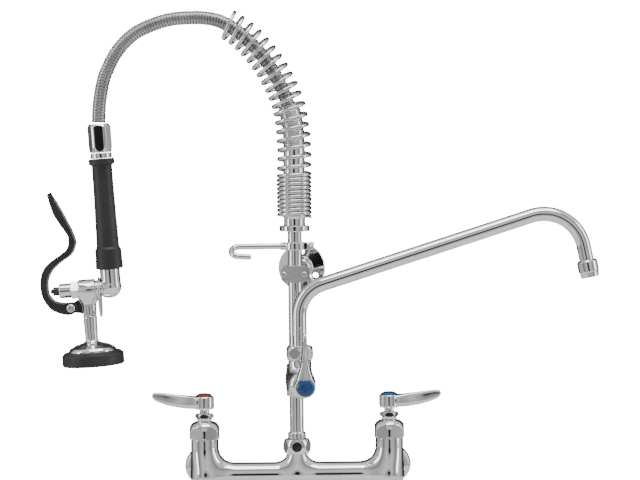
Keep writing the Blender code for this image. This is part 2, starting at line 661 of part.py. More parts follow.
def wall_bracket(riser):
    swivel = empty("bracket_axis", (0, 0, BRACKET_HEIGHT), (0, 0, BRACKET_TURN))
    swivel.parent = riser
    half_width, half_height, chamfer = 0.0146, 0.0091, 0.0035
    outline = [(half_width, half_height - chamfer), (half_width - chamfer, half_height),
               (-half_width + chamfer, half_height), (-half_width, half_height - chamfer),
               (-half_width, -half_height + chamfer), (-half_width + chamfer, -half_height),
               (half_width - chamfer, -half_height), (half_width, -half_height + chamfer)]
    depth, split = 0.0116, 0.0005
    screw_x = 0.0112
    back = (math.pi / 2, 0, 0)      # local +Z points out of the wall
    for name, sign in (("front", -1), ("rear", 1)):
        jaw = plate("bracket_clamp_" + name, outline, depth - split, "chrome")
        put(jaw, (0, sign * (depth + split) / 2, 0), parent=swivel)
        cut(jaw, rod(name + "_clamp_bore", RISER_RADIUS + GAP, 0.02, -0.02))
        for x, side in ((-screw_x, "left"), (screw_x, "right")):
            cut(jaw, put(rod(name + "_" + side + "_clamp_hole", 0.0023, 0.03, -0.03), (x, 0, 0),
                         back))
    for x, side in ((-screw_x, "left"), (screw_x, "right")):
        screw = turned("bracket_screw_" + side, [
            (0, depth + 0.0026), (0.0019, depth + 0.0026), (0.0031, depth + 0.0016), (0.0031, depth + GAP),
            (0.0020, depth + GAP), (0.0020, -depth + 0.0010), (0, -depth + 0.0010)], "stainless")
        put(screw, (x, 0, 0), back, swivel)
    arm_height = 0.0030
    place = (0, 0, arm_height)
    arm = turned("bracket_arm", [
        (0, -depth - GAP), (0.0070, -depth - GAP), (0.0070, -depth - 0.0040), (0.0055, -depth - 0.0050),
        (0.0055, 0.0030 - BRACKET_REACH), (0, 0.0030 - BRACKET_REACH)], "chrome")
    put(arm, place, back, swivel)
    face = 0.0030 - BRACKET_REACH
    flange = turned("bracket_flange", [
        (0, face + 0.0130), (0.0088, face + 0.0130), (0.0096, face + 0.0122), (0.0096, face + 0.0052),
        (0.0125, face + 0.0046), (0.0125, face + 0.0020), (0.0255, face + 0.0008), (0.0265, face - 0.0002),
        (0.0265, face - 0.0030), (0, face - 0.0030)], "chrome")
    put(flange, place, back, swivel)
    cut(flange, put(rod("flange_arm_bore", 0.0058, face + 0.02, face - GAP), place, back))
    for index, angle in enumerate(math.radians(a) for a in (-30, 90, 210)):
        x, z = 0.0177 * math.cos(angle), 0.0177 * math.sin(angle)
        hole = turned(f"flange_hole_{index + 1}", [
            (0, face + 0.02), (0.0060, face + 0.02), (0.0060, face + 0.0014), (0.00315, face - 0.0014),
            (0.00315, face - 0.01), (0, face - 0.01)])
        cut(flange, put(hole, (x, 0, arm_height + z), back))


# ---------------------------------------------------------------- spring and hose
def raised(points):
    """Give a route across the wall and up its place in front of the wall."""
    return [Vector((x, -RISER_TO_WALL, z)) for x, z in points]


def spring_line():
    """Middle line of the whole spring at equal small steps, foot first."""
    return through([(0.0, -RISER_TO_WALL, SPRING_START), *raised(SPRING_ROUTE)], spacing=0.002, per_span=20)


def helix_point(line, distance, angle, radius):
    """Point on the coil at a distance along the middle line, turned by an angle round it."""
    step = (line[1] - line[0]).length
    index = min(int(distance / step), len(line) - 2)
    along = (line[index + 1] - line[index]).normalized()
    centre = line[index] + along * (distance - index * step)
    ahead = Vector((along.z, 0.0, -along.x))
    return centre + radius * (math.cos(angle) * ahead + math.sin(angle) * Vector((0.0, 1.0, 0.0)))


def overhead_spring():
    line = spring_line()
    length = sum((b - a).length for a, b in zip(line, line[1:]))
    tight = TIGHT_TURNS * TIGHT_PITCH
    open_pitch = (length - tight) / OPEN_TURNS
    points = []
    for step in range((TIGHT_TURNS + OPEN_TURNS) * TURN_POINTS + 1):
        turn = step / TURN_POINTS
        if turn <= TIGHT_TURNS:
            distance = turn * TIGHT_PITCH
        else:
            distance = tight + (turn - TIGHT_TURNS) * open_pitch
        radius = SPRING_RADIUS + (SPRING_RADIUS_TOP - SPRING_RADIUS) * (distance / length) ** 2
        points.append(helix_point(line, distance, turn * math.tau, radius))
    wire("overhead_spring", points, SPRING_WIRE, "spring_steel", detail=2)


def spring_seat(riser):
    """Seat with its rim below the spring and the boss that the close-wound foot grips."""
    boss_top = SPRING_START + (TIGHT_TURNS - 1) * TIGHT_PITCH
    profile = [(0.0120, boss_top), (0.0130, boss_top - 0.0012), (0.0130, 0.2835), (0.0115, 0.2810),
               (0.0115, 0.2733), (0.0160, 0.2733), (0.0167, 0.2726), (0.0167, SEAT_BOTTOM + 0.0007),
               (0.0160, SEAT_BOTTOM), (RISER_BORE, SEAT_BOTTOM), (RISER_BORE, boss_top)]
    put(turned("spring_seat", profile, "chrome", hollow=True), parent=riser)


def hose_end_sleeve():
    """Swaged sleeve on the hose end: plain below, ribbed and following the spring above."""
    boss_top = SPRING_START + (TIGHT_TURNS - 1) * TIGHT_PITCH
    foot, ribs, top = boss_top + GAP, 0.3585, Vector(raised(HOSE_ROUTE)[0])
    line = through([(0, -RISER_TO_WALL, foot), (0, -RISER_TO_WALL, 0.340), (0.0004, -RISER_TO_WALL, ribs),
                    (-0.0010, -RISER_TO_WALL, 0.3840), top], spacing=0.011)
    along = Vector(raised(HOSE_ROUTE)[1]) - top
    line = square_end(line[:-1], top, along.normalized())
    mesh_of("hose_end_sleeve", wire_curve("hose_end_sleeve", line, 0.0120, 5), "hose_steel")


def square_end(points, centre, direction):
    """Finish a line square to a direction just before a joint face, on a short straight stub."""
    return points + [centre - direction * (HOSE_STUB + GAP), centre - direction * GAP]


def hoses():
    """The hose in two lengths that meet face to face where it comes out of the spring."""
    line = through(raised(HOSE_ROUTE), HOSE_POINT_SPACING)
    exit_point = raised(HOSE_ROUTE)[HOSE_LEAVES_SPRING]
    split = min(range(len(line)), key=lambda i: (line[i] - exit_point).length)
    along = (line[split + 1] - line[split - 1]).normalized()
    foot = (line[1] - line[0]).normalized()
    inner = square_end(list(reversed(line[1:split])), line[0], -foot)
    inner = square_end(list(reversed(inner)), line[split], along)
    outer = list(reversed(square_end(list(reversed(line[split + 1:])), line[split], -along)))
    wire("spring_hose", inner, HOSE_RADIUS, "hose_steel", detail=4)
    wire("free_hose", outer, HOSE_RADIUS, "hose_steel", detail=4)


# ---------------------------------------------------------------- spray gun
NUT_BOTTOM = -0.0325
GRIP_TOP = -0.0391
GRIP_BOTTOM = -0.1600


def gun_grip(gun):
    nut = put(hexagon("hose_coupling_nut", 0.0240, -0.0008, NUT_BOTTOM, "chrome"), parent=gun)
    keep(nut, turned("coupling_chamfer", [
        (0, -0.0008), (0.0108, -0.0008), (0.0129, -0.0040), (0.0129, -0.0270), (0.0118, NUT_BOTTOM),
        (0, NUT_BOTTOM)]))
    cut(nut, rod("coupling_bore", 0.0055, 0.01, -0.05))
    put(ring("handle_end_ring", 0.0119, 0.0055, NUT_BOTTOM - GAP, GRIP_TOP + GAP, "chrome"), parent=gun)
    grip = [(0.0120, GRIP_TOP), (0.0137, GRIP_TOP), (0.01425, GRIP_TOP - 0.0006), (0.01425, -0.0448),
            (0.0135, -0.0455), (0.0111, -0.0462), (0.0113, -0.0700), (0.0118, -0.1000), (0.0125, -0.1370),
            (0.0144, -0.1385), (0.0147, -0.1480), (0.0152, GRIP_BOTTOM), (0.0075, GRIP_BOTTOM),
            (0.0075, GRIP_TOP)]
    put(turned("handle_grip", grip, "black_rubber", hollow=True), parent=gun)


def gun_elbow(gun):
    """Waterway tube inside the grip, the leg below it and the neck that turns to the spray valve."""
    left = (0, -math.pi / 2, 0)
    tube = [(0, GRIP_TOP), (0.0072, GRIP_TOP), (0.0072, GRIP_BOTTOM - GAP), (0.0112, GRIP_BOTTOM - GAP),
            (0.0112, VALVE_AXIS), (0, VALVE_AXIS)]
    elbow = put(turned("handle_elbow", tube, "chrome"), parent=gun)
    ball = [(0.0112 * math.sin(a), VALVE_AXIS + 0.0112 * math.cos(a))
            for a in (math.pi * step / 10 for step in range(11))]
    ball[0] = (0, VALVE_AXIS + 0.0112)
    ball[-1] = (0, VALVE_AXIS - 0.0112)
    arm = [(0, 0.0170), (0.0090, 0.0170), (0.0090, 0.0085), (0.0108, 0.0080), (0.0108, 0.0), (0, 0.0)]
    fuse(elbow, turned("elbow_knee", ball), put(turned("elbow_arm", arm), (0, 0, VALVE_AXIS), left))
    cut(elbow, rod("elbow_bore", 0.0052, 0.0, VALVE_AXIS),
        put(rod("elbow_arm_bore", 0.0052, 0.03, 0.0), (0, 0, VALVE_AXIS), left))


def spray_valve_body(gun):
    left = (0, -math.pi / 2, 0)
    axis = (0, 0, VALVE_AXIS)
    barrel = [(0, 0.0352), (0.0104, 0.0352), (0.0110, 0.0345), (0.0110, 0.0180), (0.0104, 0.0173),
              (0, 0.0173)]
    body = put(turned("spray_valve_body", barrel, "chrome"), axis, left, gun)
    outlet = [(0, VALVE_AXIS), (0.0080, VALVE_AXIS), (0.0080, -0.1960), (0.0078, -0.2040),
              (0.0076, -0.2098), (0, -0.2098)]
    pivot_x, pivot_z = LEVER_PIVOT.x, LEVER_PIVOT.z
    lug = arc((pivot_x, pivot_z), 0.0050, math.radians(80), math.radians(280), 8)
    lug += [(-0.0300, -0.2080), (-0.0300, -0.1880)]
    fuse(body, put(turned("valve_outlet", outlet), (SPRAY_AXIS, 0, 0)),
         plate("lever_lug", lug, LUG_THICKNESS))
    cut(body, put(rod("valve_bore", 0.0075, 0.05, 0.0210), axis, left),
        put(rod("valve_port", 0.0052, 0.0300, 0.0), axis, left),
        put(rod("valve_outlet_bore", 0.0052, VALVE_AXIS, -0.2200), (SPRAY_AXIS, 0, 0)),
        put(rod("lug_hole", 0.0024, 0.01, -0.01), (pivot_x, 0, pivot_z), (math.pi / 2, 0, 0)))


def valve_bonnet(gun):
    """Hexagon and cap that close the spray valve and guide its plunger."""
    left = (0, -math.pi / 2, 0)
    axis = (0, 0, VALVE_AXIS)
    bonnet = put(hexagon("valve_bonnet", 0.0186, 0.0437, 0.0355, "chrome", math.pi / 6), axis, left, gun)
    cap = [(0, 0.0570), (0.0072, 0.0570), (0.00815, 0.0560), (0.00815, 0.0440), (0.0060, 0.0430), (0, 0.0430)]
    fuse(bonnet, put(turned("valve_cap", cap), axis, left),
         put(rod("bonnet_plug", 0.0072, 0.0360, 0.0300), axis, left))
    cut(bonnet, put(rod("plunger_bore", 0.0051, 0.0700, 0.0400), axis, left),
        put(rod("bonnet_port", 0.0030, 0.0500, 0.0200), axis, left))
    plunger = turned("plunger", [
        (0, 0.0665), (0.0018, 0.0665), (0.0025, 0.0658), (0.0025, 0.0638), (0.0048, 0.0634),
        (0.0048, 0.0470), (0, 0.0470)], "black_plastic")
    put(plunger, axis, left, gun)


# Outer and inner edges of the squeeze lever, across and up from its pivot.
LEVER_OUTER = ((-0.0172, 0.1262), (-0.0113, 0.1041), (-0.0018, 0.0869), (0.0024, 0.0790), (0.0024, 0.0701),
               (-0.0018, 0.0630), (-0.0131, 0.0558), (-0.0235, 0.0483), (-0.0292, 0.0394), (-0.0316, 0.0279),
               (-0.0308, 0.0164), (-0.0265, 0.0062), (-0.0190, -0.0020), (-0.0065, -0.0070), (0.0010, -0.0072))
LEVER_INNER = ((0.0012, 0.0062), (-0.0085, 0.0062), (-0.0165, 0.0088), (-0.0223, 0.0158), (-0.0232, 0.0250),
               (-0.0218, 0.0345), (-0.0156, 0.0439), (-0.0063, 0.0514), (0.0052, 0.0589), (0.0104, 0.0690),
               (0.0106, 0.0745), (0.0072, 0.0855), (-0.0023, 0.1072), (-0.0128, 0.1284))


def squeeze_lever(gun):
    pivot = empty("lever_pivot_axis", LEVER_PIVOT)
    pivot.parent = gun
    outer = [(p.x, p.y) for p in through([(*p, 0) for p in LEVER_OUTER], per_span=2)]
    inner = [(p.x, p.y) for p in through([(*p, 0) for p in LEVER_INNER], per_span=2)]
    eye = arc((0.0, 0.0), 0.0066, math.radians(-60), math.radians(60), 6)
    lever = put(plate("squeeze_lever", outer + eye + inner, LEVER_THICKNESS, "black_plastic"), parent=pivot)
    slot = LUG_THICKNESS / 2 + GAP
    cut(lever, block("lever_slot", (-0.0062, -slot, -0.0120), (0.0200, slot, 0.0100)),
        put(rod("lever_hole", 0.0024, 0.01, -0.01), rotation=(math.pi / 2, 0, 0)))
    face = LEVER_THICKNESS / 2 + GAP
    screw = turned("lever_pivot_screw", [
        (0, face + 0.0022), (0.0030, face + 0.0022), (0.0046, face + 0.0009), (0.0046, face),
        (0.0021, face), (0.0021, -face), (0, -face)], "stainless")
    put(screw, rotation=(math.pi / 2, 0, 0), parent=pivot)


def hold_down_ring(gun):
    """Oval wire loop that hangs on the neck and holds the lever down."""
    radius, half_width, half_height = 0.00145, 0.0140, 0.0205
    top = VALVE_AXIS + 0.0090 + radius + 0.0004
    centre = top - half_height
    points = []
    for step in range(24):
        angle = math.tau * step / 24
        points.append((-0.0129, half_width * math.cos(angle), centre + half_height * math.sin(angle)))
    put(mesh_of("hold_down_ring", wire_curve("hold_down_ring", points, radius, 2, caps=False, closed=True),
                "stainless"), parent=gun)


def spray_head(gun):
    place = (SPRAY_AXIS, 0, 0)
    stem = [(0.0077, -0.2101), (0.0077, -0.2130), (0.0070, -0.2370), (0.0085, -0.2392), (0.0180, -0.2420),
            (0.0245, -0.2455), (0.0265, -0.2480), (0.0265, -0.2520), (0.0240, -0.2520), (0.0228, -0.2480),
            (0.0170, -0.2442), (0.0052, -0.2420), (0.0052, -0.2101)]
    put(turned("spray_head", stem, "chrome", hollow=True), place, parent=gun)
    bumper = [(0.0270, -0.2495), (0.0318, -0.2497), (0.0322, -0.2512), (0.0335, -0.2518), (0.0341, -0.2535),
              (0.0341, -0.2625), (0.0333, -0.2645), (0.0300, -0.2652), (0.0262, -0.2652), (0.0262, -0.2523),
              (0.0270, -0.2523)]
    put(turned("rubber_bumper", bumper, "black_rubber", hollow=True), place, parent=gun)
    face = turned("spray_face", [
        (0, -0.2565), (0.0240, -0.2565), (0.0259, -0.2580), (0.0259, -0.2620), (0.0240, -0.2632),
        (0, -0.2638)], "grey_plastic")
    put(face, place, parent=gun)
    holes = 8
    for index in range(holes):
        angle = math.tau * index / holes
        spot = (SPRAY_AXIS + 0.0140 * math.cos(angle), 0.0140 * math.sin(angle), 0)
        cut(face, put(rod(f"spray_hole_{index + 1}", 0.0016, -0.2500, -0.2700, steps=6), spot))


def spray_gun():
    gun = empty("gun_axis", GUN_TOP, (0, GUN_TILT, 0))
    gun_grip(gun)
    gun_elbow(gun)
    spray_valve_body(gun)
    valve_bonnet(gun)
    squeeze_lever(gun)
    hold_down_ring(gun)
    spray_head(gun)


# ---------------------------------------------------------------- build
def close_slivers(item):
    if any(modifier.type == "BOOLEAN" for modifier in item.modifiers):
        weld = item.modifiers.new("Slivers", "WELD")
        weld.merge_threshold = WELD


def shade_round(item):
    if item.type == "MESH":
        item.data.shade_smooth()
        item.data.set_sharp_from_angle(angle=math.radians(35))


def build():
    riser = mixing_body()
    for side, name, button, paint in ((-1, "left", "hot_index_button", "red_plastic"),
                                      (1, "right", "cold_index_button", "blue_plastic")):
        wall_union(side, name, riser)
        side_tap(side, name, button, paint, riser)
    riser_pieces(riser)
    spout(riser, addon_faucet(riser))
    hook(riser)
    wall_bracket(riser)
    spring_seat(riser)
    hose_end_sleeve()
    overhead_spring()
    hoses()
    spray_gun()
    for item in PARTS.objects:
        close_slivers(item)
        shade_round(item)


build()
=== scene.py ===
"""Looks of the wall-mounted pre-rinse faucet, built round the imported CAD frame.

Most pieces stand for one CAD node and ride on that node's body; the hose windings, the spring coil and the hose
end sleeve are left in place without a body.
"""

import json
import math

import bmesh
import bpy
import numpy as np
from mathutils import Matrix, Vector


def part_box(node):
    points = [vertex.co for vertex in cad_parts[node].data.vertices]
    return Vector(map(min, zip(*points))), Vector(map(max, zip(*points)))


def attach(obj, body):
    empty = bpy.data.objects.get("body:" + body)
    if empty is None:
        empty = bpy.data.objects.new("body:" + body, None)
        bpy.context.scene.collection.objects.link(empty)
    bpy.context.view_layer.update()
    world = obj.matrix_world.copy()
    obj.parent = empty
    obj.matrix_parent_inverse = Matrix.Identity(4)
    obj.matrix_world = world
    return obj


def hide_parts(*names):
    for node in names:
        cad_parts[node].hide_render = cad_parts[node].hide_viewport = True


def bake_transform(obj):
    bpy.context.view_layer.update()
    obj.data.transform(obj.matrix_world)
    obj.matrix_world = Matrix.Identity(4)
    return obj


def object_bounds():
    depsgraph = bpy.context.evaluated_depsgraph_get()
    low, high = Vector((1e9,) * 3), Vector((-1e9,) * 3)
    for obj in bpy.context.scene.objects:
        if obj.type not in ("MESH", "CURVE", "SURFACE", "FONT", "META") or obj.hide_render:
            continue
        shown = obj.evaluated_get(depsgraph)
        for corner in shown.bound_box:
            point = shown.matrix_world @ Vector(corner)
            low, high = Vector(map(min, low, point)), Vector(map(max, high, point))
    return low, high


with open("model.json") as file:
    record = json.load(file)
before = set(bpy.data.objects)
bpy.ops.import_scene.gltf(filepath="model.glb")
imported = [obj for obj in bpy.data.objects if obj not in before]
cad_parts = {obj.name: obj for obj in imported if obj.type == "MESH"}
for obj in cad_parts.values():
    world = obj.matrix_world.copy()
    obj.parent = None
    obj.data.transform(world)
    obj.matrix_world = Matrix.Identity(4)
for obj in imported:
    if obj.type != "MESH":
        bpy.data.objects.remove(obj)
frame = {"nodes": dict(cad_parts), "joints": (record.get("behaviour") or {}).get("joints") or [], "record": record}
CAD_BOX = [list(corner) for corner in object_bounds()]

RECORD = frame["record"]
JOINTS = {joint["name"]: joint for joint in frame["joints"]}
BODY_OF = {node: body for body, nodes in RECORD["behaviour"]["bodies"].items() for node in nodes}
SLOT_OF = {part["node"]: part["material_slot"] for part in RECORD["subparts"]}

# ---------------------------------------------------------------- places taken from the frame
UP = Vector((0, 0, 1))
RIGHT = Vector((1, 0, 0))
OUT = Vector((0, -1, 0))          # out of the wall, towards the viewer
riser_low, riser_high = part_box("upper_riser")
RISER = Vector(((riser_low.x + riser_high.x) / 2, (riser_low.y + riser_high.y) / 2, 0))
STEPS = 96                        # facets round a turned piece


def joint_place(name):
    return Vector(JOINTS[name]["pos_m"])


def placed(origin, up=UP, ahead=RIGHT):
    """Matrix whose Z axis is up and whose X axis lies towards ahead."""
    z = Vector(up).normalized()
    x = (Vector(ahead) - z * Vector(ahead).dot(z)).normalized()
    y = z.cross(x)
    matrix = Matrix((x, y, z)).transposed().to_4x4()
    matrix.translation = origin
    return matrix


# ---------------------------------------------------------------- camera
VIEW_DISTANCE = 3.0
LENS = 153.8
VIEW_ELEVATION = math.radians(2.5)
VIEW_ROLL = math.radians(-0.63)
VIEW_TARGET = Vector((RISER.x + 0.0277, RISER.y, 0.257))

camera_data = bpy.data.cameras.new("studio_camera")
camera_data.lens = LENS
camera_data.sensor_width = 36
camera = bpy.data.objects.new("studio_camera", camera_data)
bpy.context.scene.collection.objects.link(camera)
camera.matrix_world = (Matrix.Translation(VIEW_TARGET)
                       @ Matrix.Rotation(math.pi / 2 - VIEW_ELEVATION, 4, "X")
                       @ Matrix.Rotation(VIEW_ROLL, 4, "Z")
                       @ Matrix.Translation((0, 0, VIEW_DISTANCE)))
bpy.context.scene.camera = camera


# ---------------------------------------------------------------- materials
def new_material(name):
    material = bpy.data.materials.new(name)
    material.use_nodes = True
    return material, material.node_tree, material.node_tree.nodes["Principled BSDF"]


def noise(tree, scale, detail, stretch=(1, 1, 1)):
    """Noise in the part's own space, optionally stretched; the scale is in cycles per metre."""
    nodes, links = tree.nodes, tree.links
    place = nodes.new("ShaderNodeTexCoord")
    mapping = nodes.new("ShaderNodeMapping")
    mapping.inputs["Scale"].default_value = stretch
    texture = nodes.new("ShaderNodeTexNoise")
    texture.inputs["Scale"].default_value = scale
    texture.inputs["Detail"].default_value = detail
    links.new(place.outputs["Object"], mapping.inputs["Vector"])
    links.new(mapping.outputs["Vector"], texture.inputs["Vector"])
    return texture.outputs["Fac"]


def spread(tree, source, low, high):
    """Map the useful middle of a noise value to low..high."""
    node = tree.nodes.new("ShaderNodeMapRange")
    node.inputs["From Min"].default_value = 0.3
    node.inputs["From Max"].default_value = 0.7
    node.inputs["To Min"].default_value = low
    node.inputs["To Max"].default_value = high
    tree.links.new(source, node.inputs["Value"])
    return node.outputs["Result"]


def tint(tree, shader, source, dark, light):
    ramp = tree.nodes.new("ShaderNodeValToRGB")
    ramp.color_ramp.elements[0].position = 0.3
    ramp.color_ramp.elements[0].color = (*dark, 1)
    ramp.color_ramp.elements[1].position = 0.7
    ramp.color_ramp.elements[1].color = (*light, 1)
    tree.links.new(source, ramp.inputs["Fac"])
    tree.links.new(ramp.outputs["Color"], shader.inputs["Base Color"])


def bump(tree, shader, layers):
    """Stack (height source, distance) layers of relief."""
    last = None
    for source, distance in layers:
        node = tree.nodes.new("ShaderNodeBump")
        node.inputs["Strength"].default_value = 1.0
        node.inputs["Distance"].default_value = distance
        tree.links.new(source, node.inputs["Height"])
        if last:
            tree.links.new(last, node.inputs["Normal"])
        last = node.outputs["Normal"]
    tree.links.new(last, shader.inputs["Normal"])


def surface(name, dark, light, roughness, metallic, grain, relief, stretch=(1, 1, 1), coat=0.0):
    """A finish: colour drift, roughness patches and fine relief, all from noise."""
    material, tree, shader = new_material(name)
    shader.inputs["Metallic"].default_value = metallic
    shader.inputs["Coat Weight"].default_value = coat
    tint(tree, shader, noise(tree, 40, 4), dark, light)
    patches = noise(tree, grain * 0.25, 5, stretch)
    tree.links.new(spread(tree, patches, *roughness), shader.inputs["Roughness"])
    bump(tree, shader, [(noise(tree, grain, 3, stretch), relief), (noise(tree, 45, 2), relief * 2)])
    return material


PAINT = {
    "chrome": surface("polished_chrome", (0.70, 0.71, 0.72), (0.80, 0.81, 0.82), (0.035, 0.085), 1.0, 900,
                      0.0000006),
    "satin_chrome": surface("satin_clamp_chrome", (0.44, 0.445, 0.455), (0.54, 0.545, 0.555), (0.30, 0.40),
                            1.0, 1500, 0.000003),
    "spring_steel": surface("spring_wire", (0.54, 0.55, 0.56), (0.68, 0.69, 0.70), (0.09, 0.16), 1.0, 1400,
                            0.000002),
    "hose_steel": surface("interlocked_hose_steel", (0.28, 0.28, 0.275), (0.42, 0.42, 0.41), (0.20, 0.34),
                          1.0, 2200, 0.000003),
    "stainless": surface("satin_stainless", (0.52, 0.52, 0.52), (0.66, 0.66, 0.655), (0.20, 0.32), 1.0, 1800,
                         0.000002, (0.15, 1, 1)),
    "black_rubber": surface("moulded_black_rubber", (0.008, 0.008, 0.009), (0.020, 0.020, 0.022),
                            (0.42, 0.60), 0.0, 2600, 0.000012),
    "black_plastic": surface("moulded_black_nylon", (0.010, 0.010, 0.011), (0.024, 0.024, 0.026),
                             (0.28, 0.42), 0.0, 1900, 0.000008),
    "grey_plastic": surface("grey_acetal", (0.22, 0.23, 0.24), (0.31, 0.32, 0.33), (0.38, 0.52), 0.0, 1600,
                            0.000006),
    "red_plastic": surface("red_index_plastic", (0.10, 0.016, 0.013), (0.15, 0.026, 0.020), (0.16, 0.28),
                           0.0, 700, 0.000003, coat=0.15),
    "blue_plastic": surface("blue_index_plastic", (0.001, 0.030, 0.12), (0.003, 0.050, 0.18), (0.16, 0.28),
                            0.0, 700, 0.000003, coat=0.15),
}


def finish(item, node, paint=None, ride=True):
    """Give a piece its finish, hang it on its body unless ride is off, and hide the CAD node that it stands for.
    """
    item.data.materials.clear()
    item.data.materials.append(PAINT[paint or SLOT_OF[node]])
    if ride:
        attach(item, BODY_OF[node])
    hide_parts(node)
    return item


# ---------------------------------------------------------------- mesh helpers
def new_object(name, mesh):
    item = bpy.data.objects.new(name, mesh)
    bpy.context.scene.collection.objects.link(item)
    return item


def grid_mesh(name, rings, close_round=True, close_along=False, caps=False):
    """Mesh over a (rings, points, 3) grid, closed round each ring."""
    count, around = rings.shape[:2]
    faces = []
    for i in range(count if close_along else count - 1):
        below, above = i * around, (i + 1) % count * around
        for k in range(around if close_round else around - 1):
            n = (k + 1) % around
            faces.append((below + k, below + n, above + n, above + k))
    if caps:
        faces.append(tuple(reversed(range(around))))
        faces.append(tuple(range((count - 1) * around, count * around)))
    mesh = bpy.data.meshes.new(name)
    mesh.from_pydata(rings.reshape(-1, 3).tolist(), [], faces)
    return mesh


def tidy(mesh, smooth_angle=None):
    """Merge doubled points, point the faces out and shade smooth."""
    shape = bmesh.new()
    shape.from_mesh(mesh)
    bmesh.ops.remove_doubles(shape, verts=shape.verts, dist=0.000002)
    bmesh.ops.dissolve_degenerate(shape, edges=shape.edges, dist=0.000001)
    bmesh.ops.recalc_face_normals(shape, faces=shape.faces)
    shape.to_mesh(mesh)
    shape.free()
    mesh.shade_smooth()
    if smooth_angle:
        mesh.set_sharp_from_angle(angle=math.radians(smooth_angle))
    return mesh


def softened(profile, radius, closed=False, bend_steps=4):
    """Round the corners of a 2-D outline by about the given radius."""
    points = [Vector(p) for p in profile]
    count = len(points)
    result = []
    for i, point in enumerate(points):
        if not closed and i in (0, count - 1):
            result.append(point)
            continue
        before, after = points[i - 1] - point, points[(i + 1) % count] - point
        turn = math.pi - before.angle(after, math.pi)
        if turn < 0.2 or not radius:
            result.append(point)
            continue
        reach = min(radius * math.tan(turn / 2), before.length * 0.45, after.length * 0.45)
        start, end = point + before.normalized() * reach, point + after.normalized() * reach
        for step in range(bend_steps + 1):
            t = step / bend_steps
            result.append(start * (1 - t) ** 2 + point * 2 * t * (1 - t) + end * t * t)
    return result


def lathe(name, profile, place=Matrix(), radius=0.0006, steps=STEPS, hollow=False, relief=None):
    """Turned piece from a (radius, height) profile with softened corners. Relief adds to the radius."""
    outline = np.array([tuple(p) for p in softened(profile, radius, hollow)])
    angles = np.arange(steps) * math.tau / steps
    r = outline[:, 0][:, None] + np.zeros(steps)[None]
    z = outline[:, 1][:, None] + np.zeros(steps)[None]
    if relief:
        r = r + relief(angles[None], z) * (r > 0.0005)
    rings = np.stack([r * np.cos(angles), r * np.sin(angles), z], axis=2)
    mesh = grid_mesh(name, rings, close_along=hollow)
    mesh.transform(place)
    item = new_object(name, tidy(mesh, 60))
    weighted(item)
    return item


def weighted(item):
    """Keep flat faces flat in the shading next to their rounded edges."""
    normals = item.modifiers.new("Normals", "WEIGHTED_NORMAL")
    normals.keep_sharp = True
    return item


def join(name, items):
    """One object from several, keeping each as its own closed shell."""
    bpy.context.view_layer.update()
    shape = bmesh.new()
    graph = bpy.context.evaluated_depsgraph_get()
    for item in items:
        mesh = bpy.data.meshes.new_from_object(item.evaluated_get(graph))
        mesh.transform(item.matrix_world)
        shape.from_mesh(mesh)
        bpy.data.objects.remove(item, do_unlink=True)
    mesh = bpy.data.meshes.new(name)
    shape.to_mesh(mesh)
    shape.free()
    mesh.shade_smooth()
    mesh.set_sharp_from_angle(angle=math.radians(45))
    return weighted(new_object(name, mesh))


def boolean(item, other, operation):
    modifier = item.modifiers.new(operation.title(), "BOOLEAN")
    modifier.operation = operation
    modifier.object = other
    modifier.solver = "EXACT"


def carved(item, cutters=(), limits=(), edge=0.0003):
    """Apply cuts and intersections, then round the edges they leave."""
    item.modifiers.clear()
    for limit in limits:
        boolean(item, limit, "INTERSECT")
    for cutter in cutters:
        boolean(item, cutter, "DIFFERENCE")
    bpy.context.view_layer.update()
    mesh = bpy.data.meshes.new_from_object(item.evaluated_get(bpy.context.evaluated_depsgraph_get()))
    item.modifiers.clear()
    item.data = mesh
    for other in (*cutters, *limits):
        bpy.data.objects.remove(other, do_unlink=True)
    weld = item.modifiers.new("Weld", "WELD")
    weld.merge_threshold = 0.00001
    bevel = item.modifiers.new("Edge", "BEVEL")
    bevel.width = edge
    bevel.segments = 3
    bevel.limit_method = "ANGLE"
    bevel.angle_limit = math.radians(28)
    mesh.shade_smooth()
    return weighted(item)


def prism(name, outline, low, high, place=Matrix()):
    """Straight prism over a flat outline, along the local Z axis."""
    rings = np.array([[(p[0], p[1], z) for p in outline] for z in (low, high)])
    mesh = grid_mesh(name, rings, caps=True)
    mesh.transform(place)
    return new_object(name, tidy(mesh, 30))


def hexagon(name, flats, low, high, place=Matrix(), turn=0.0):
    radius = flats / math.sqrt(3)
    outline = [(radius * math.cos(turn + k * math.pi / 3), radius * math.sin(turn + k * math.pi / 3))
               for k in range(6)]
    return prism(name, outline, low, high, place)


def smooth_line(points, per_span=8, closed=False):
    """Catmull-Rom curve through the points."""
    points = [Vector(p) for p in points]
    count = len(points)
    fine = []
    for i in range(count if closed else count - 1):
        if closed:
            a, b, c, d = (points[(i + k) % count] for k in (-1, 0, 1, 2))
        else:
            b, c = points[i], points[i + 1]
            a = points[i - 1] if i else b * 2 - c
            d = points[i + 2] if i + 2 < count else c * 2 - b
        for step in range(per_span):
            t = step / per_span
            fine.append(0.5 * (2 * b + (c - a) * t + (2 * a - 5 * b + 4 * c - d) * t * t
                               + (3 * b - a - 3 * c + d) * t * t * t))
    return fine if closed else fine + [points[-1]]


def evenly(points, spacing):
    """Resample an open line at equal steps, as an array."""
    line = np.array([tuple(p) for p in points])
    along = np.concatenate([[0], np.cumsum(np.linalg.norm(np.diff(line, axis=0), axis=1))])
    count = max(2, round(along[-1] / spacing) + 1)
    target = np.linspace(0, along[-1], count)
    return np.stack([np.interp(target, along, line[:, k]) for k in range(3)], axis=1), target


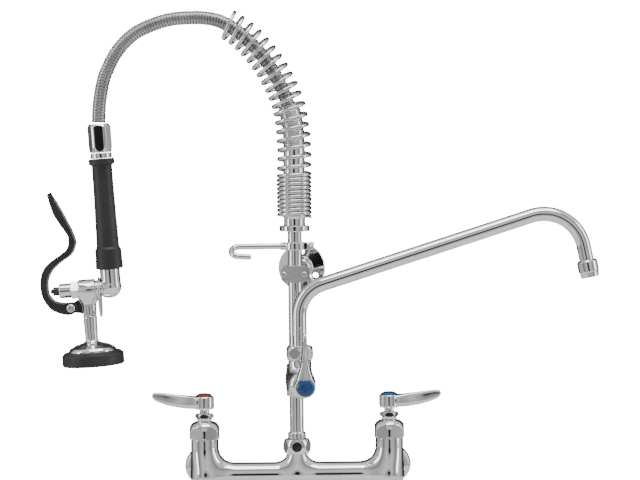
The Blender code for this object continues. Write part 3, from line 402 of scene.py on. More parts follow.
def sweep(name, line, radius, sides=32, closed=False, relief=None, distances=None, end_round=0.0):
    """Tube along an array of points. Relief(distance, angle) adds to the radius; ends can be rounded."""
    line = np.asarray(line, float)
    if closed:
        tangents = np.roll(line, -1, 0) - np.roll(line, 1, 0)
    else:
        tangents = np.gradient(line, axis=0)
    tangents /= np.linalg.norm(tangents, axis=1)[:, None]
    side = np.cross(tangents[0], (0, 1, 0) if abs(tangents[0][1]) < 0.9 else (1, 0, 0))
    angles = np.arange(sides) * math.tau / sides
    rings = np.zeros((len(line), sides, 3))
    for i, (point, along) in enumerate(zip(line, tangents)):
        side = side - along * side.dot(along)
        side /= np.linalg.norm(side)
        over = np.cross(along, side)
        size = radius[i] if np.ndim(radius) else radius
        if relief:
            size = size + relief(distances[i], angles)
        rings[i] = point + (np.cos(angles) * size)[:, None] * side + (np.sin(angles) * size)[:, None] * over
    if end_round:
        rings = rounded_ends(rings, line, tangents, end_round)
    mesh = grid_mesh(name, rings, close_along=closed, caps=not closed)
    return new_object(name, tidy(mesh, 50))


def rounded_ends(rings, line, tangents, bulge):
    """Add shrinking rings past each end."""
    extra = []
    for index, sign in ((0, -1), (-1, 1)):
        stack = []
        for step in range(1, 6):
            angle = math.pi / 2 * step / 6
            offset = tangents[index] * sign * bulge * math.sin(angle)
            stack.append(line[index] + (rings[index] - line[index]) * math.cos(angle) + offset)
        extra.append(np.array(stack))
    return np.concatenate([extra[0][::-1], rings, extra[1]])


# ---------------------------------------------------------------- blended castings
def outline_distance(x, y, outline):
    """Signed distance to a closed polygon, negative inside."""
    nearest = np.full(x.shape, 1e9)
    sign = np.ones(x.shape)
    count = len(outline)
    for i in range(count):
        (ax, ay), (bx, by) = outline[i], outline[i - 1]
        ex, ey, wx, wy = bx - ax, by - ay, x - ax, y - ay
        t = np.clip((wx * ex + wy * ey) / max(ex * ex + ey * ey, 1e-18), 0, 1)
        nearest = np.minimum(nearest, (wx - ex * t) ** 2 + (wy - ey * t) ** 2)
        one, two, three = y >= ay, y < by, ex * wy > ey * wx
        flip = (one & two & three) | ~(one | two | three)
        sign = np.where(flip, -sign, sign)
    return sign * np.sqrt(nearest)


def turned_field(profile, place, radius=0.0006):
    """Distance function of a turned solid given as (radius, height) from top to bottom."""
    half = [tuple(p) for p in softened(profile, radius)]
    outline = half + [(-r, z) for r, z in reversed(half)]
    inverse = np.array(place.inverted())

    def distance(points):
        local = points @ inverse[:3, :3].T + inverse[:3, 3]
        return outline_distance(np.hypot(local[:, 0], local[:, 1]), local[:, 2], outline)
    return distance


def blend_fields(fields):
    """Smooth union of (distance function, blend width) pairs."""
    def distance(points):
        result = fields[0][0](points)
        for field, width in fields[1:]:
            other = field(points)
            share = np.maximum(width - np.abs(result - other), 0) / width
            result = np.minimum(result, other) - share * share * width / 4
        return result
    return distance


def casting(name, solids, voxel=0.0009):
    """One cast skin over turned solids, with a fillet of its own width where each meets the rest."""
    rough = join(name, [lathe(name + "_core", profile, place, steps=48) for profile, place, _ in solids])
    rough.modifiers.clear()
    remesh = rough.modifiers.new("Voxels", "REMESH")
    remesh.mode = "VOXEL"
    remesh.voxel_size = voxel
    bpy.context.view_layer.update()
    mesh = bpy.data.meshes.new_from_object(rough.evaluated_get(bpy.context.evaluated_depsgraph_get()))
    bpy.data.objects.remove(rough, do_unlink=True)
    field = blend_fields([(turned_field(profile, place), width) for profile, place, width in solids])
    points = np.zeros(len(mesh.vertices) * 3)
    mesh.vertices.foreach_get("co", points)
    points = points.reshape(-1, 3)
    small = 0.00002
    corners = np.array([(1, -1, -1), (-1, -1, 1), (-1, 1, -1), (1, 1, 1)], float)
    for _ in range(5):
        slope = sum(corner * field(points + corner * small)[:, None] for corner in corners)
        slope /= np.maximum(np.linalg.norm(slope, axis=1), 1e-12)[:, None]
        points = points - slope * np.clip(field(points), -0.002, 0.002)[:, None] * 0.9
    mesh.vertices.foreach_set("co", points.reshape(-1))
    mesh.update()
    mesh.shade_smooth()
    mesh.normals_split_custom_set_from_vertices(slope.tolist())
    mesh.name = name
    return new_object(name, mesh)


# ---------------------------------------------------------------- hose and spring
# Middle line of the hose, from the top of its end sleeve to the gun, across the wall and up.
HOSE_ROUTE = ((-0.0055, 0.4050), (-0.0102, 0.4185), (-0.0188, 0.4370), (-0.0292, 0.4540), (-0.0436, 0.4715),
              (-0.0578, 0.4845), (-0.0700, 0.4930), (-0.0820, 0.4985), (-0.0975, 0.5015), (-0.1135, 0.5018),
              (-0.1310, 0.5005), (-0.1475, 0.4965), (-0.1670, 0.4885), (-0.1820, 0.4775), (-0.1940, 0.4630),
              (-0.2015, 0.4490), (-0.2066, 0.4370), (-0.2103, 0.4210), (-0.2126, 0.4040), (-0.2133, 0.3883))
HOSE_LEAVES_SPRING = 7
HOSE_RADIUS = 0.00775
HOSE_PITCH = 0.0032
SPRING_START = 0.2830
SPRING_ROUTE = ((0.0, 0.3271), (0.0005, 0.360), (-0.0033, 0.397), (-0.0097, 0.418), (-0.0188, 0.437),
                (-0.0292, 0.454), (-0.0436, 0.472), (-0.0578, 0.4852), (-0.0715, 0.4945))
SPRING_WIRE = 0.00225
SPRING_RADIUS, SPRING_RADIUS_TOP = 0.01705, 0.0152
TIGHT_TURNS, TIGHT_PITCH, OPEN_TURNS = 10, 0.0047, 18
TURN_POINTS = 40


def raised(points):
    return [Vector((x, RISER.y, z)) for x, z in points]


def strip_winding(pitch, depth):
    """Relief of an interlocked strip hose: a rounded band with a narrow groove, wound on a helix."""
    def relief(distance, angles):
        phase = (distance / pitch - angles / math.tau) % 1.0
        band = np.clip(np.minimum(phase, 1 - phase) / 0.16, 0, 1)
        step = np.clip((phase - 0.55) / 0.06, 0, 1) * np.clip((0.92 - phase) / 0.06, 0, 1)
        return -depth * (1 - np.sin(band * math.pi / 2)) - depth * 0.22 * step
    return relief


def hose_piece(name, points, node):
    line, distances = evenly(points, HOSE_PITCH / 12)
    item = sweep(name, line, HOSE_RADIUS, 40, relief=strip_winding(HOSE_PITCH, 0.0012), distances=distances)
    return finish(item, node, ride=False)


hose_line = smooth_line(raised(HOSE_ROUTE), 12)
exit_index = HOSE_LEAVES_SPRING * 12
free_hose = hose_piece("free_hose_winding", hose_line[exit_index:], "free_hose")
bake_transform(free_hose)

spring_hose = hose_piece("spring_hose_winding", hose_line[:exit_index + 1], "spring_hose")
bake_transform(spring_hose)


def coil():
    """Round wire wound round the hose: close turns at the foot, open turns above."""
    route = smooth_line([(RISER.x, RISER.y, SPRING_START), *raised(SPRING_ROUTE)], 20)
    line, distances = evenly(route, 0.001)
    length = distances[-1]
    tight = TIGHT_TURNS * TIGHT_PITCH
    open_pitch = (length - tight) / OPEN_TURNS
    turns = np.arange((TIGHT_TURNS + OPEN_TURNS) * TURN_POINTS + 1) / TURN_POINTS
    distance = np.where(turns <= TIGHT_TURNS, turns * TIGHT_PITCH, tight + (turns - TIGHT_TURNS) * open_pitch)
    centre = np.stack([np.interp(distance, distances, line[:, k]) for k in range(3)], axis=1)
    slope = np.gradient(line, axis=0)
    slope = np.stack([np.interp(distance, distances, slope[:, k]) for k in range(3)], axis=1)
    slope /= np.linalg.norm(slope, axis=1)[:, None]
    ahead = np.stack([slope[:, 2], np.zeros(len(slope)), -slope[:, 0]], axis=1)
    radius = SPRING_RADIUS + (SPRING_RADIUS_TOP - SPRING_RADIUS) * (distance / length) ** 2
    angle = turns * math.tau
    points = (centre + (radius * np.cos(angle))[:, None] * ahead
              + (radius * np.sin(angle))[:, None] * np.array((0, 1, 0)))
    return sweep("overhead_spring_coil", points, SPRING_WIRE, 20, end_round=0.0008)


spring = finish(coil(), "overhead_spring", ride=False)
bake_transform(spring)


def end_sleeve():
    """Swaged sleeve: plain below, ribbed above."""
    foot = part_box("hose_end_sleeve")[0].z
    top = raised(HOSE_ROUTE)[0]
    points = smooth_line([(RISER.x, RISER.y, foot), (RISER.x, RISER.y, 0.340), (0.0004, RISER.y, 0.3585),
                          (-0.0010, RISER.y, 0.3840), top])
    line, distances = evenly(points, 0.0002)
    ribs_start = 0.3585 - foot

    def relief(distance, angles):
        if distance < ribs_start:
            return -0.0002 * np.ones(len(angles))
        wave = abs(math.sin(math.pi * (distance - ribs_start) / 0.0024))
        taper = 0.0014 * max(0.0, (distance - distances[-1] + 0.004) / 0.004)
        return (-0.0008 * (1 - wave ** 0.6) - taper) * np.ones(len(angles))
    return sweep("hose_end_sleeve_ribs", line, 0.0121, 56, relief=relief, distances=distances)


sleeve = finish(end_sleeve(), "hose_end_sleeve", "chrome", ride=False)
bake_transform(sleeve)

# ---------------------------------------------------------------- taps
GAP = 0.0003
COLUMN_TOP = 0.0392
STEM_RADIUS = 0.0040
BUTTON_RADIUS = 0.0094
LEVER_CAST_HEIGHT = 0.0146
LEVER_UNDER = ((-0.002, 0.0002), (0.0176, 0.0008), (0.0288, 0.0022), (0.0400, 0.0045), (0.0512, 0.0084),
               (0.0560, 0.0118), (0.0577, 0.0146))
LEVER_OVER = ((-0.002, 0.0144), (0.0115, 0.0150), (0.0288, 0.0168), (0.0456, 0.0190), (0.0530, 0.0192),
              (0.0566, 0.0178), (0.0577, 0.0146))
LEVER_WIDTH = ((-0.002, 0.0085), (0.0060, 0.0090), (0.0100, 0.0087), (0.0167, 0.0066), (0.0240, 0.0048),
               (0.0340, 0.0035), (0.0460, 0.0028), (0.0577, 0.0022))


def read_curve(points, x):
    fine = smooth_line([(*p, 0) for p in points], 12)
    return np.interp(x, [p.x for p in fine], [p.y for p in fine])


def lever_blade(name, place, stretch):
    """Teardrop blade lofted along its length from rounded oblong sections."""
    length = LEVER_OVER[-1][0]
    share = np.sin(np.linspace(0, math.pi / 2, 72))
    stations = -0.002 + (length + 0.002 - 0.00002) * share
    low, high = read_curve(LEVER_UNDER, stations), read_curve(LEVER_OVER, stations)
    low, high = np.minimum(low, high) * stretch, np.maximum(low, high) * stretch
    width = read_curve(LEVER_WIDTH, stations)
    angles = np.arange(40) * math.tau / 40
    power = 2 / 3.2
    across = np.sign(np.cos(angles)) * np.abs(np.cos(angles)) ** power
    upward = np.sign(np.sin(angles)) * np.abs(np.sin(angles)) ** power
    middle, half = (low + high) / 2, (high - low) / 2
    narrowing = np.minimum(1, half / 0.0012)
    rings = np.stack([
        np.repeat(stations[:, None], len(angles), 1),
        (width * narrowing)[:, None] * across[None],
        middle[:, None] + half[:, None] * upward[None]], axis=2)
    mesh = grid_mesh(name, rings, caps=True)
    mesh.transform(place)
    return new_object(name, tidy(mesh, 60))


def bonnet_nut(prefix, place, flats, top, corner_turn):
    """Hexagon nut turned to a domed shoulder."""
    nut = hexagon(prefix + "_bonnet_hexagon", flats, 0, top + 0.001, place, corner_turn)
    around = flats / math.sqrt(3) - 0.0012
    dome = smooth_line([(around - 0.0080, top, 0), (around - 0.0048, top - 0.0012, 0),
                        (around - 0.0021, top - 0.0040, 0), (around - 0.0005, top - 0.0080, 0),
                        (around, top - 0.0120, 0)], 6)
    turning = lathe(prefix + "_bonnet_turning", [
        (0, top), *((p.x, p.y) for p in dome), (around, 0.0012), (around - 0.0012, 0.0), (0, 0.0)],
        place, radius=0)
    bore = lathe(prefix + "_bonnet_bore", [(0, top + 0.01), (STEM_RADIUS + GAP, top + 0.01),
                                           (STEM_RADIUS + GAP, -0.01), (0, -0.01)], place, radius=0)
    finish(carved(nut, cutters=(bore,), limits=(turning,)), prefix + "_bonnet_nut")


def valve_stem(prefix, place, packing, hub_bottom, hub_top):
    seat, tip = -0.0215, hub_top - 0.0060
    finish(lathe(prefix + "_stem_turned", [
        (0, tip), (0.0034, tip), (0.0034, hub_bottom - GAP), (0.0055, hub_bottom - GAP),
        (0.0055, packing + GAP), (STEM_RADIUS, packing + GAP), (STEM_RADIUS, seat + 0.0045),
        (0.0078, seat + 0.0035), (0.0078, seat), (0, seat)], place, radius=0.0002), prefix + "_valve_stem")


def tap(prefix, place, lever_place, sizes, button, corner_turn=0.0):
    """Bonnet nut, packing nut, stem, lever handle and index button above a valve seat."""
    flats, shoulder, packing, hub_bottom, hub_top, hub = sizes
    bonnet_nut(prefix, place, flats, shoulder, corner_turn)
    valve_stem(prefix, place, packing, hub_bottom, hub_top)
    low = shoulder + GAP
    middle = low + (packing - low) * 0.4
    bore = STEM_RADIUS + GAP
    collar = lathe(prefix + "_packing_turning", [
        (bore, packing), (0.0068, packing), (0.0098, packing - 0.0008), (0.0105, packing - 0.0022),
        (0.0105, middle + 0.001), (0.0086, middle - 0.0004), (0.0080, low), (bore, low)], place,
        hollow=True, radius=0.0002)
    flat_sides = hexagon(prefix + "_packing_flats", 0.0190, low - 0.001, packing + 0.001, place)
    finish(carved(collar, limits=(flat_sides,), edge=0.0002), prefix + "_packing_nut")

    height = hub_top - hub_bottom
    hub_shape = lathe(prefix + "_hub", [
        (0.0060, height - 0.0008), (hub - 0.0010, height), (hub, height - 0.0012), (hub, 0.0018),
        (hub - 0.0016, 0.0), (0.0060, 0.0)], lever_place, hollow=True, radius=0.0009)
    blade = lever_blade(prefix + "_blade", lever_place, height / LEVER_CAST_HEIGHT)
    finish(join(prefix + "_lever_handle_cast", [hub_shape, blade]), prefix + "_lever_handle")
    low = hub_top + GAP
    disc = lathe(button + "_moulded", [
        (0, low + 0.0033), (0.0045, low + 0.0029), (0.0078, low + 0.0018), (BUTTON_RADIUS, low + 0.0004),
        (BUTTON_RADIUS, low), (0, low)], place, radius=0.0008)
    finish(disc, button)


SIDE_SIZES = (0.0325, 0.0192, 0.0281, 0.0324, 0.0470, 0.0110)
FRONT_SIZES = (0.0292, 0.0165, 0.0240, 0.0275, 0.0415, 0.0113)
for side, prefix, button in ((-1, "left", "hot_index_button"), (1, "right", "cold_index_button")):
    seat = joint_place(prefix + "_handle_turn")
    seat.z = COLUMN_TOP + GAP
    place = placed(seat, UP, RIGHT * side)
    tap(prefix, place, place @ Matrix.Translation((0, 0, SIDE_SIZES[3])), SIDE_SIZES, button,
        math.pi / 6)

# ---------------------------------------------------------------- mixing body and wall unions
VALVE = abs(joint_place("left_handle_turn").x)
CROSSBAR_RADIUS = 0.013
INLET_STUB = 0.027
RISER_TO_WALL = -RISER.y
INLET_SHIFT = abs(RECORD["mounts"][1]["pos_m"][0]) - VALVE


def mixing_body():
    along = placed(RISER - RIGHT * VALVE, RIGHT, UP)
    solids = [([(0, 2 * VALVE), (CROSSBAR_RADIUS, 2 * VALVE), (CROSSBAR_RADIUS, 0), (0, 0)], along, 0.001)]
    for side in (-1, 1):
        foot = RISER + RIGHT * VALVE * side
        column = [(0, COLUMN_TOP), (0.01525, COLUMN_TOP), (0.01525, 0.010), (0.0160, 0.002), (0.0160, -0.004),
                  (0.0146, -0.009), (0.0112, -0.0126), (0.0060, -0.0140), (0, -0.0142)]
        stub = [(0, 0.0), (0.0118, 0.0), (0.0118, -INLET_STUB), (0, -INLET_STUB)]
        solids.append((column, placed(foot), 0.020))
        solids.append((stub, placed(foot, OUT), 0.004))
    boss = [(0, 0.0223), (0.01025, 0.0223), (0.01025, 0.010), (0.01025, 0.0), (0, 0.0)]
    solids.append((boss, placed(RISER), 0.016))
    finish(casting("mixing_body_cast", solids), "mixing_body")


mixing_body()
for side, name in ((-1, "left"), (1, "right")):
    inlet = placed(Vector((side * VALVE, 0, 0)), OUT, RIGHT)
    shifted = placed(Vector((side * (VALVE + INLET_SHIFT), 0, 0)), OUT, RIGHT)
    front = RISER_TO_WALL - INLET_STUB + 0.006
    back = front - 0.016
    nut = hexagon(name + "_union_hexagon", 0.0310, back, front, inlet)
    turning = lathe(name + "_union_turning", [
        (0, front), (0.0150, front), (0.0177, front - 0.002), (0.0177, back + 0.002), (0.0150, back),
        (0, back)], inlet, radius=0)
    finish(carved(nut, limits=(turning,)), name + "_inlet_union_nut")
    tail = lathe(name + "_connector_tail", [
        (0.0072, back + 0.002), (0.0103, back + 0.002), (0.0103, 0.0240), (0.0072, 0.0240)], inlet,
        hollow=True)
    swell = lathe(name + "_connector_swell", [
        (0, 0.0290), (0.0125, 0.0290), (0.0125, 0.0130), (0, 0.0130)],
        placed(Vector((side * (VALVE + INLET_SHIFT / 2), 0, 0)), OUT, RIGHT), radius=0.003)

    def thread(angles, z, pitch=0.0018):
        wave = np.abs(((z / pitch + angles / math.tau) % 1.0) - 0.5) * 2
        return np.where(z < 0.0, -0.0009 * wave, 0.0)

    threaded = [(0.0072, 0.0150), (0.0104, 0.0150)]
    threaded += [(0.0104, -0.014 * step / 60) for step in range(61)]
    threaded += [(0.0072, -0.014)]
    end = lathe(name + "_connector_thread", threaded, shifted, hollow=True, radius=0, relief=thread)
    finish(join(name + "_eccentric_connector_turned", [tail, swell, end]), name + "_eccentric_connector")
    dome = [(0.0107, 0.0100), (0.0145, 0.0100), (0.0185, 0.0088), (0.0208, 0.0062), (0.0220, 0.0022),
            (0.0220, 0.0), (0.0185, 0.0), (0.0182, 0.0030), (0.0160, 0.0066), (0.0107, 0.0078)]
    finish(lathe(name + "_wall_flange_spun", dome, shifted, hollow=True, radius=0.0012),
           name + "_wall_flange")


# ---------------------------------------------------------------- riser
def ball_nut(name, node, flats, radius, top, bottom, bore, place, turn):
    """Ball-shaped hexagon nut whose flats are round facets."""
    middle, half = (top + bottom) / 2, (top - bottom) / 2
    profile = []
    steps = 24
    for step in range(steps + 1):
        height = half * (1 - 2 * step / steps)
        profile.append((math.sqrt(radius * radius - height * height), middle + height))
    ball = lathe(name, [(bore, top), *profile, (bore, bottom)], place, hollow=True, radius=0)
    sides = hexagon(name + "_flats", flats, bottom - 0.001, top + 0.001, place, turn)
    return finish(carved(ball, limits=(sides,)), node)


ADDON_HEIGHT = JOINTS["addon_handle_turn"]["pos_m"][2]
FORWARD = Vector(JOINTS["addon_handle_turn"]["axis"])
riser = placed(RISER)
ball_nut("outlet_union_nut_polished", "outlet_union_nut", 0.0289, 0.01545, 0.0386, 0.0226, 0.0093, riser, 0.0)
finish(lathe("lower_riser_tube", [
    (0.0065, ADDON_HEIGHT - 0.0183), (0.0079, ADDON_HEIGHT - 0.0183), (0.0079, 0.0460), (0.0092, 0.0460),
    (0.0101, 0.0450), (0.0101, 0.0389), (0.0090, 0.0389), (0.0090, 0.0226), (0.0065, 0.0226)], riser,
    hollow=True), "lower_riser")
finish(lathe("upper_riser_tube", [
    (0.0065, riser_high.z), (0.0079, riser_high.z), (0.0079, riser_low.z), (0.0065, riser_low.z)], riser,
    hollow=True, radius=0.0003), "upper_riser")

# ---------------------------------------------------------------- add-on faucet
ADDON_SEAT = 0.0575
SPOUT_FOOT = joint_place("spout_swivel")
valve_axis = placed(RISER + UP * ADDON_HEIGHT, FORWARD, UP)
spout_axis = placed(Vector((SPOUT_FOOT.x, SPOUT_FOOT.y, 0)), UP, FORWARD)
barrel = [(0, 0.1210), (0.0108, 0.1210), (0.0108, ADDON_HEIGHT - 0.0180), (0, ADDON_HEIGHT - 0.0180)]
throat = [(0, ADDON_SEAT), (0.0147, ADDON_SEAT), (0.0147, 0.0505), (0.0140, 0.0300), (0.0122, 0.0150),
          (0.0101, 0.0060), (0.0085, 0.0), (0, 0.0)]
neck = [(0, 0.1287), (0.01275, 0.1287), (0.01275, 0.1190), (0.0132, 0.1100), (0.0130, 0.0990),
        (0.0110, 0.0925), (0.0060, 0.0895), (0, 0.0890)]
finish(casting("addon_body_cast", [(barrel, riser, 0.001), (throat, valve_axis, 0.010),
                                   (neck, spout_axis, 0.007)], 0.0007), "addon_body")
front_tap = placed(RISER + UP * ADDON_HEIGHT + FORWARD * (ADDON_SEAT + GAP), FORWARD, UP)
tap("addon", front_tap, front_tap @ Matrix.Translation((0, 0, FRONT_SIZES[3])), FRONT_SIZES,
    "addon_index_button")
ball_nut("spout_swivel_nut_polished", "spout_swivel_nut", 0.0283, 0.0153, 0.1445, 0.1290, 0.0083, spout_axis,
         0.0)

SPOUT_RADIUS = 0.008
LOW_BEND, HIGH_BEND, ARM = 0.036, 0.044, 0.238
ARM_SLOPE, END_SLOPE = math.radians(17.5), math.radians(-78.5)


def arc(centre, radius, start, stop, steps):
    angles = np.linspace(start, stop, steps + 1)
    return [(centre[0] + radius * math.cos(a), centre[1] + radius * math.sin(a)) for a in angles]


def spout():
    points = [(0.0, 0.1150), (0.0, 0.1500)]
    points += arc((LOW_BEND, 0.1765), LOW_BEND, math.pi, math.pi / 2 + ARM_SLOPE, 40)
    start = points[-1]
    end = (start[0] + ARM * math.cos(ARM_SLOPE), start[1] + ARM * math.sin(ARM_SLOPE))
    centre = (end[0] + HIGH_BEND * math.sin(ARM_SLOPE), end[1] - HIGH_BEND * math.cos(ARM_SLOPE))
    points += arc(centre, HIGH_BEND, math.pi / 2 + ARM_SLOPE, math.pi / 2 + END_SLOPE, 56)
    tip = (points[-1][0] + 0.0215 * math.cos(END_SLOPE), points[-1][1] + 0.0215 * math.sin(END_SLOPE))
    points.append(tip)
    line, _ = evenly([(SPOUT_FOOT.x + x, SPOUT_FOOT.y, z) for x, z in points], 0.0015)
    finish(sweep("spout_tube_bent", line, SPOUT_RADIUS, 64), "spout_tube")
    outlet = placed((SPOUT_FOOT.x + tip[0], SPOUT_FOOT.y, tip[1]),
                    -Vector((math.cos(END_SLOPE), 0, math.sin(END_SLOPE))), RIGHT)
    housing = [(0.0081, 0.0060), (0.0094, 0.0060), (0.0113, 0.0046), (0.0113, -0.0060), (0.0106, -0.0072),
               (0.01005, -0.0125), (0.0094, -0.0130), (0.0084, -0.0130), (0.0084, -0.0012)]
    finish(lathe("aerator_housing_turned", housing, outlet, hollow=True), "aerator_housing")
    screen = lathe("aerator_disc", [(0, -0.0098), (0.0081, -0.0098), (0.0081, -0.0116), (0, -0.0118)], outlet)
    ribs = [sweep(f"aerator_rib_{k}", [outlet @ Vector((a * 0.0078, b * 0.0078, -0.0121)),
                                       outlet @ Vector((-a * 0.0078, -b * 0.0078, -0.0121))], 0.0004, 8)
            for k, (a, b) in enumerate((math.cos(t), math.sin(t)) for t in np.arange(4) * math.pi / 4)]
    finish(join("aerator_screen_mesh", [screen, *ribs]), "aerator_screen")


spout()


# ---------------------------------------------------------------- finger hook
def knurl(count, depth):
    def relief(angles, z):
        return -depth * (0.5 + 0.5 * np.cos(angles * count)) + 0 * z
    return relief


HOOK_ROD = 0.0034


def finger_hook():
    place = placed(joint_place("hook_swivel"))
    band = lathe("hook_band", [(0.0082, 0.0043), (0.0112, 0.0043), (0.0112, -0.0043), (0.0082, -0.0043)],
                 place, hollow=True, radius=0.0010)
    reach, bend, forward, drop = -0.0610, 0.0085, 0.0068, 0.0050
    bar = [(-0.0090, 0.0, 0.0), (-0.0500, 0.0, 0.0), (reach, 0.0, 0.0)]
    for angle in (math.radians(7.5 * step) for step in range(1, 25)):
        turned_by = 1 - math.cos(angle)
        bar.append((reach - bend * math.sin(angle), -forward * turned_by, -drop * turned_by))
    bar.append((-0.0500, -2 * forward, -2 * drop - 0.0008))
    line, _ = evenly([place @ Vector(p) for p in smooth_line(bar, 3)], 0.0008)
    rod = sweep("hook_rod", line, HOOK_ROD, 32, end_round=0.0030)
    across = placed(place.translation, RIGHT, UP)
    collar = HOOK_ROD + 0.001
    socket = lathe("hook_socket", [(0, -0.0080), (collar, -0.0080), (collar, -0.0160), (0, -0.0160)], across)
    ear = prism("hook_ear", [(0.0080, -0.0045), (0.0145, -0.0045), (0.0145, 0.0045), (0.0080, 0.0045)],
                -0.0043, 0.0043, place)
    ear = carved(ear, edge=0.0012)
    finish(join("finger_hook_forged", [band, rod, socket, ear]), "finger_hook")
    head = lathe("hook_screw_head", [
        (0, 0.0212), (0.0040, 0.0212), (0.0047, 0.0204), (0.0047, 0.0156), (0.0040, 0.0148), (0, 0.0148)],
        across, relief=knurl(24, 0.0003), radius=0.0003, steps=144)
    shank = lathe("hook_screw_shank", [(0, 0.0150), (0.0021, 0.0150), (0.0021, 0.0082), (0, 0.0082)], across)
    finish(join("hook_screw_knurled", [head, shank]), "hook_screw")


finger_hook()


# ---------------------------------------------------------------- wall bracket
def wall_bracket():
    centre = joint_place("bracket_swivel")
    back_way = Vector(RECORD["mounts"][5]["axis"])
    side = back_way.cross(UP)
    out = placed(centre, -back_way, side)
    reach = (Vector(RECORD["mounts"][5]["pos_m"]) - centre).dot(back_way)
    outline = softened([(0.0146, 0.0056), (0.0111, 0.0091), (-0.0111, 0.0091), (-0.0146, 0.0056),
                        (-0.0146, -0.0056), (-0.0111, -0.0091), (0.0111, -0.0091), (0.0146, -0.0056)],
                       0.004, closed=True)
    depth, split = 0.0116, 0.0005
    for name, low, high in (("front", split, depth), ("rear", -depth, -split)):
        jaw = prism(f"bracket_clamp_{name}_ground", outline, low, high, out)
        bore = lathe("clamp_bore", [(0, 0.02), (0.0082, 0.02), (0.0082, -0.02), (0, -0.02)], placed(centre),
                     radius=0)
        finish(carved(jaw, cutters=(bore,), edge=0.0007), f"bracket_clamp_{name}",
               "satin_chrome")
    for x, name in ((-0.0112, "left"), (0.0112, "right")):
        place = out @ Matrix.Translation((x if side.x > 0 else -x, 0, 0))
        head = lathe(f"bracket_screw_{name}_head", [
            (0, depth + 0.0012), (0.0013, depth + 0.0012), (0.0015, depth + 0.0026), (0.0019, depth + 0.0026),
            (0.0031, depth + 0.0016), (0.0031, depth + GAP), (0.0020, depth + GAP), (0.0020, -0.0106),
            (0, -0.0106)], place, radius=0.0003)
        finish(head, "bracket_screw_" + name, "satin_chrome")
    raised_out = out @ Matrix.Translation((0, 0.0030 if (out.to_3x3() @ Vector((0, 1, 0))).z > 0 else -0.0030,
                                           0))
    finish(lathe("bracket_arm_turned", [
        (0, -depth - GAP), (0.0070, -depth - GAP), (0.0070, -depth - 0.0040), (0.0055, -depth - 0.0050),
        (0.0055, 0.0030 - reach), (0, 0.0030 - reach)], raised_out), "bracket_arm")
    face = 0.0030 - reach
    flange = lathe("bracket_flange_turned", [
        (0.0058, face + 0.0130), (0.0088, face + 0.0130), (0.0096, face + 0.0122), (0.0096, face + 0.0052),
        (0.0125, face + 0.0046), (0.0125, face + 0.0020), (0.0255, face + 0.0008), (0.0265, face - 0.0002),
        (0.0265, face - 0.0030), (0.0058, face - 0.0030)], raised_out, hollow=True)
    holes = []
    upward = 1 if (raised_out.to_3x3() @ Vector((0, 1, 0))).z > 0 else -1
    for angle in (math.radians(a) for a in (-30, 90, 210)):
        spot = raised_out @ Matrix.Translation((0.0177 * math.cos(angle),
                                                0.0177 * math.sin(angle) * upward, 0))
        holes.append(lathe("flange_hole", [
            (0, face + 0.02), (0.0060, face + 0.02), (0.0060, face + 0.0014), (0.00315, face - 0.0014),
            (0.00315, face - 0.01), (0, face - 0.01)], spot, radius=0, steps=40))
    finish(carved(flange, cutters=holes, edge=0.00015), "bracket_flange")


wall_bracket()

# ---------------------------------------------------------------- spring seat
seat_low, seat_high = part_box("spring_seat")
finish(lathe("spring_seat_turned", [
    (0.0065, seat_high.z), (0.0120, seat_high.z), (0.0130, seat_high.z - 0.0012), (0.0130, 0.2835),
    (0.0118, 0.2810), (0.0118, 0.2733), (0.0160, 0.2733), (0.0167, 0.2726), (0.0167, seat_low.z + 0.0007),
    (0.0160, seat_low.z), (0.0065, seat_low.z)], riser, hollow=True), "spring_seat")

# ---------------------------------------------------------------- spray gun
GUN_ACROSS = Vector(JOINTS["plunger_slide"]["axis"])
GUN_UP = GUN_ACROSS.cross(Vector((0, 1, 0)))
PIVOT = (-0.0454, 0.0, -0.2003)
VALVE_AXIS = -0.181
SPRAY_AXIS = -0.0254
GRIP_TOP, GRIP_BOTTOM = -0.0391, -0.1600
pivot_frame = placed(joint_place("lever_squeeze"), GUN_UP, GUN_ACROSS)
gun = pivot_frame @ Matrix.Translation(-Vector(PIVOT))
valve = gun @ placed(Vector((0, 0, VALVE_AXIS)), -RIGHT, UP)
spray = gun @ Matrix.Translation((SPRAY_AXIS, 0, 0))


def gun_grip():
    nut = hexagon("coupling_hexagon", 0.0240, -0.0325, -0.0008, gun)
    turning = lathe("coupling_turning", [
        (0, -0.0008), (0.0105, -0.0008), (0.0129, -0.0040), (0.0129, -0.0270), (0.0116, -0.0325),
        (0, -0.0325)], gun, radius=0.0004)
    finish(carved(nut, limits=(turning,)), "hose_coupling_nut")
    finish(lathe("handle_end_ring_turned", [
        (0.0056, -0.0328), (0.0119, -0.0328), (0.0119, -0.0388), (0.0056, -0.0388)], gun, hollow=True,
        radius=0.0008), "handle_end_ring")
    grip = [(0.0076, GRIP_TOP), (0.01425, GRIP_TOP), (0.01425, -0.0450), (0.0135, -0.0455), (0.0112, -0.0464),
            (0.0113, -0.0700), (0.0118, -0.1000), (0.0125, -0.1362), (0.0144, -0.1385), (0.0147, -0.1480),
            (0.0152, GRIP_BOTTOM), (0.0076, GRIP_BOTTOM)]
    finish(lathe("handle_grip_sleeve", grip, gun, hollow=True, radius=0.0014), "handle_grip")


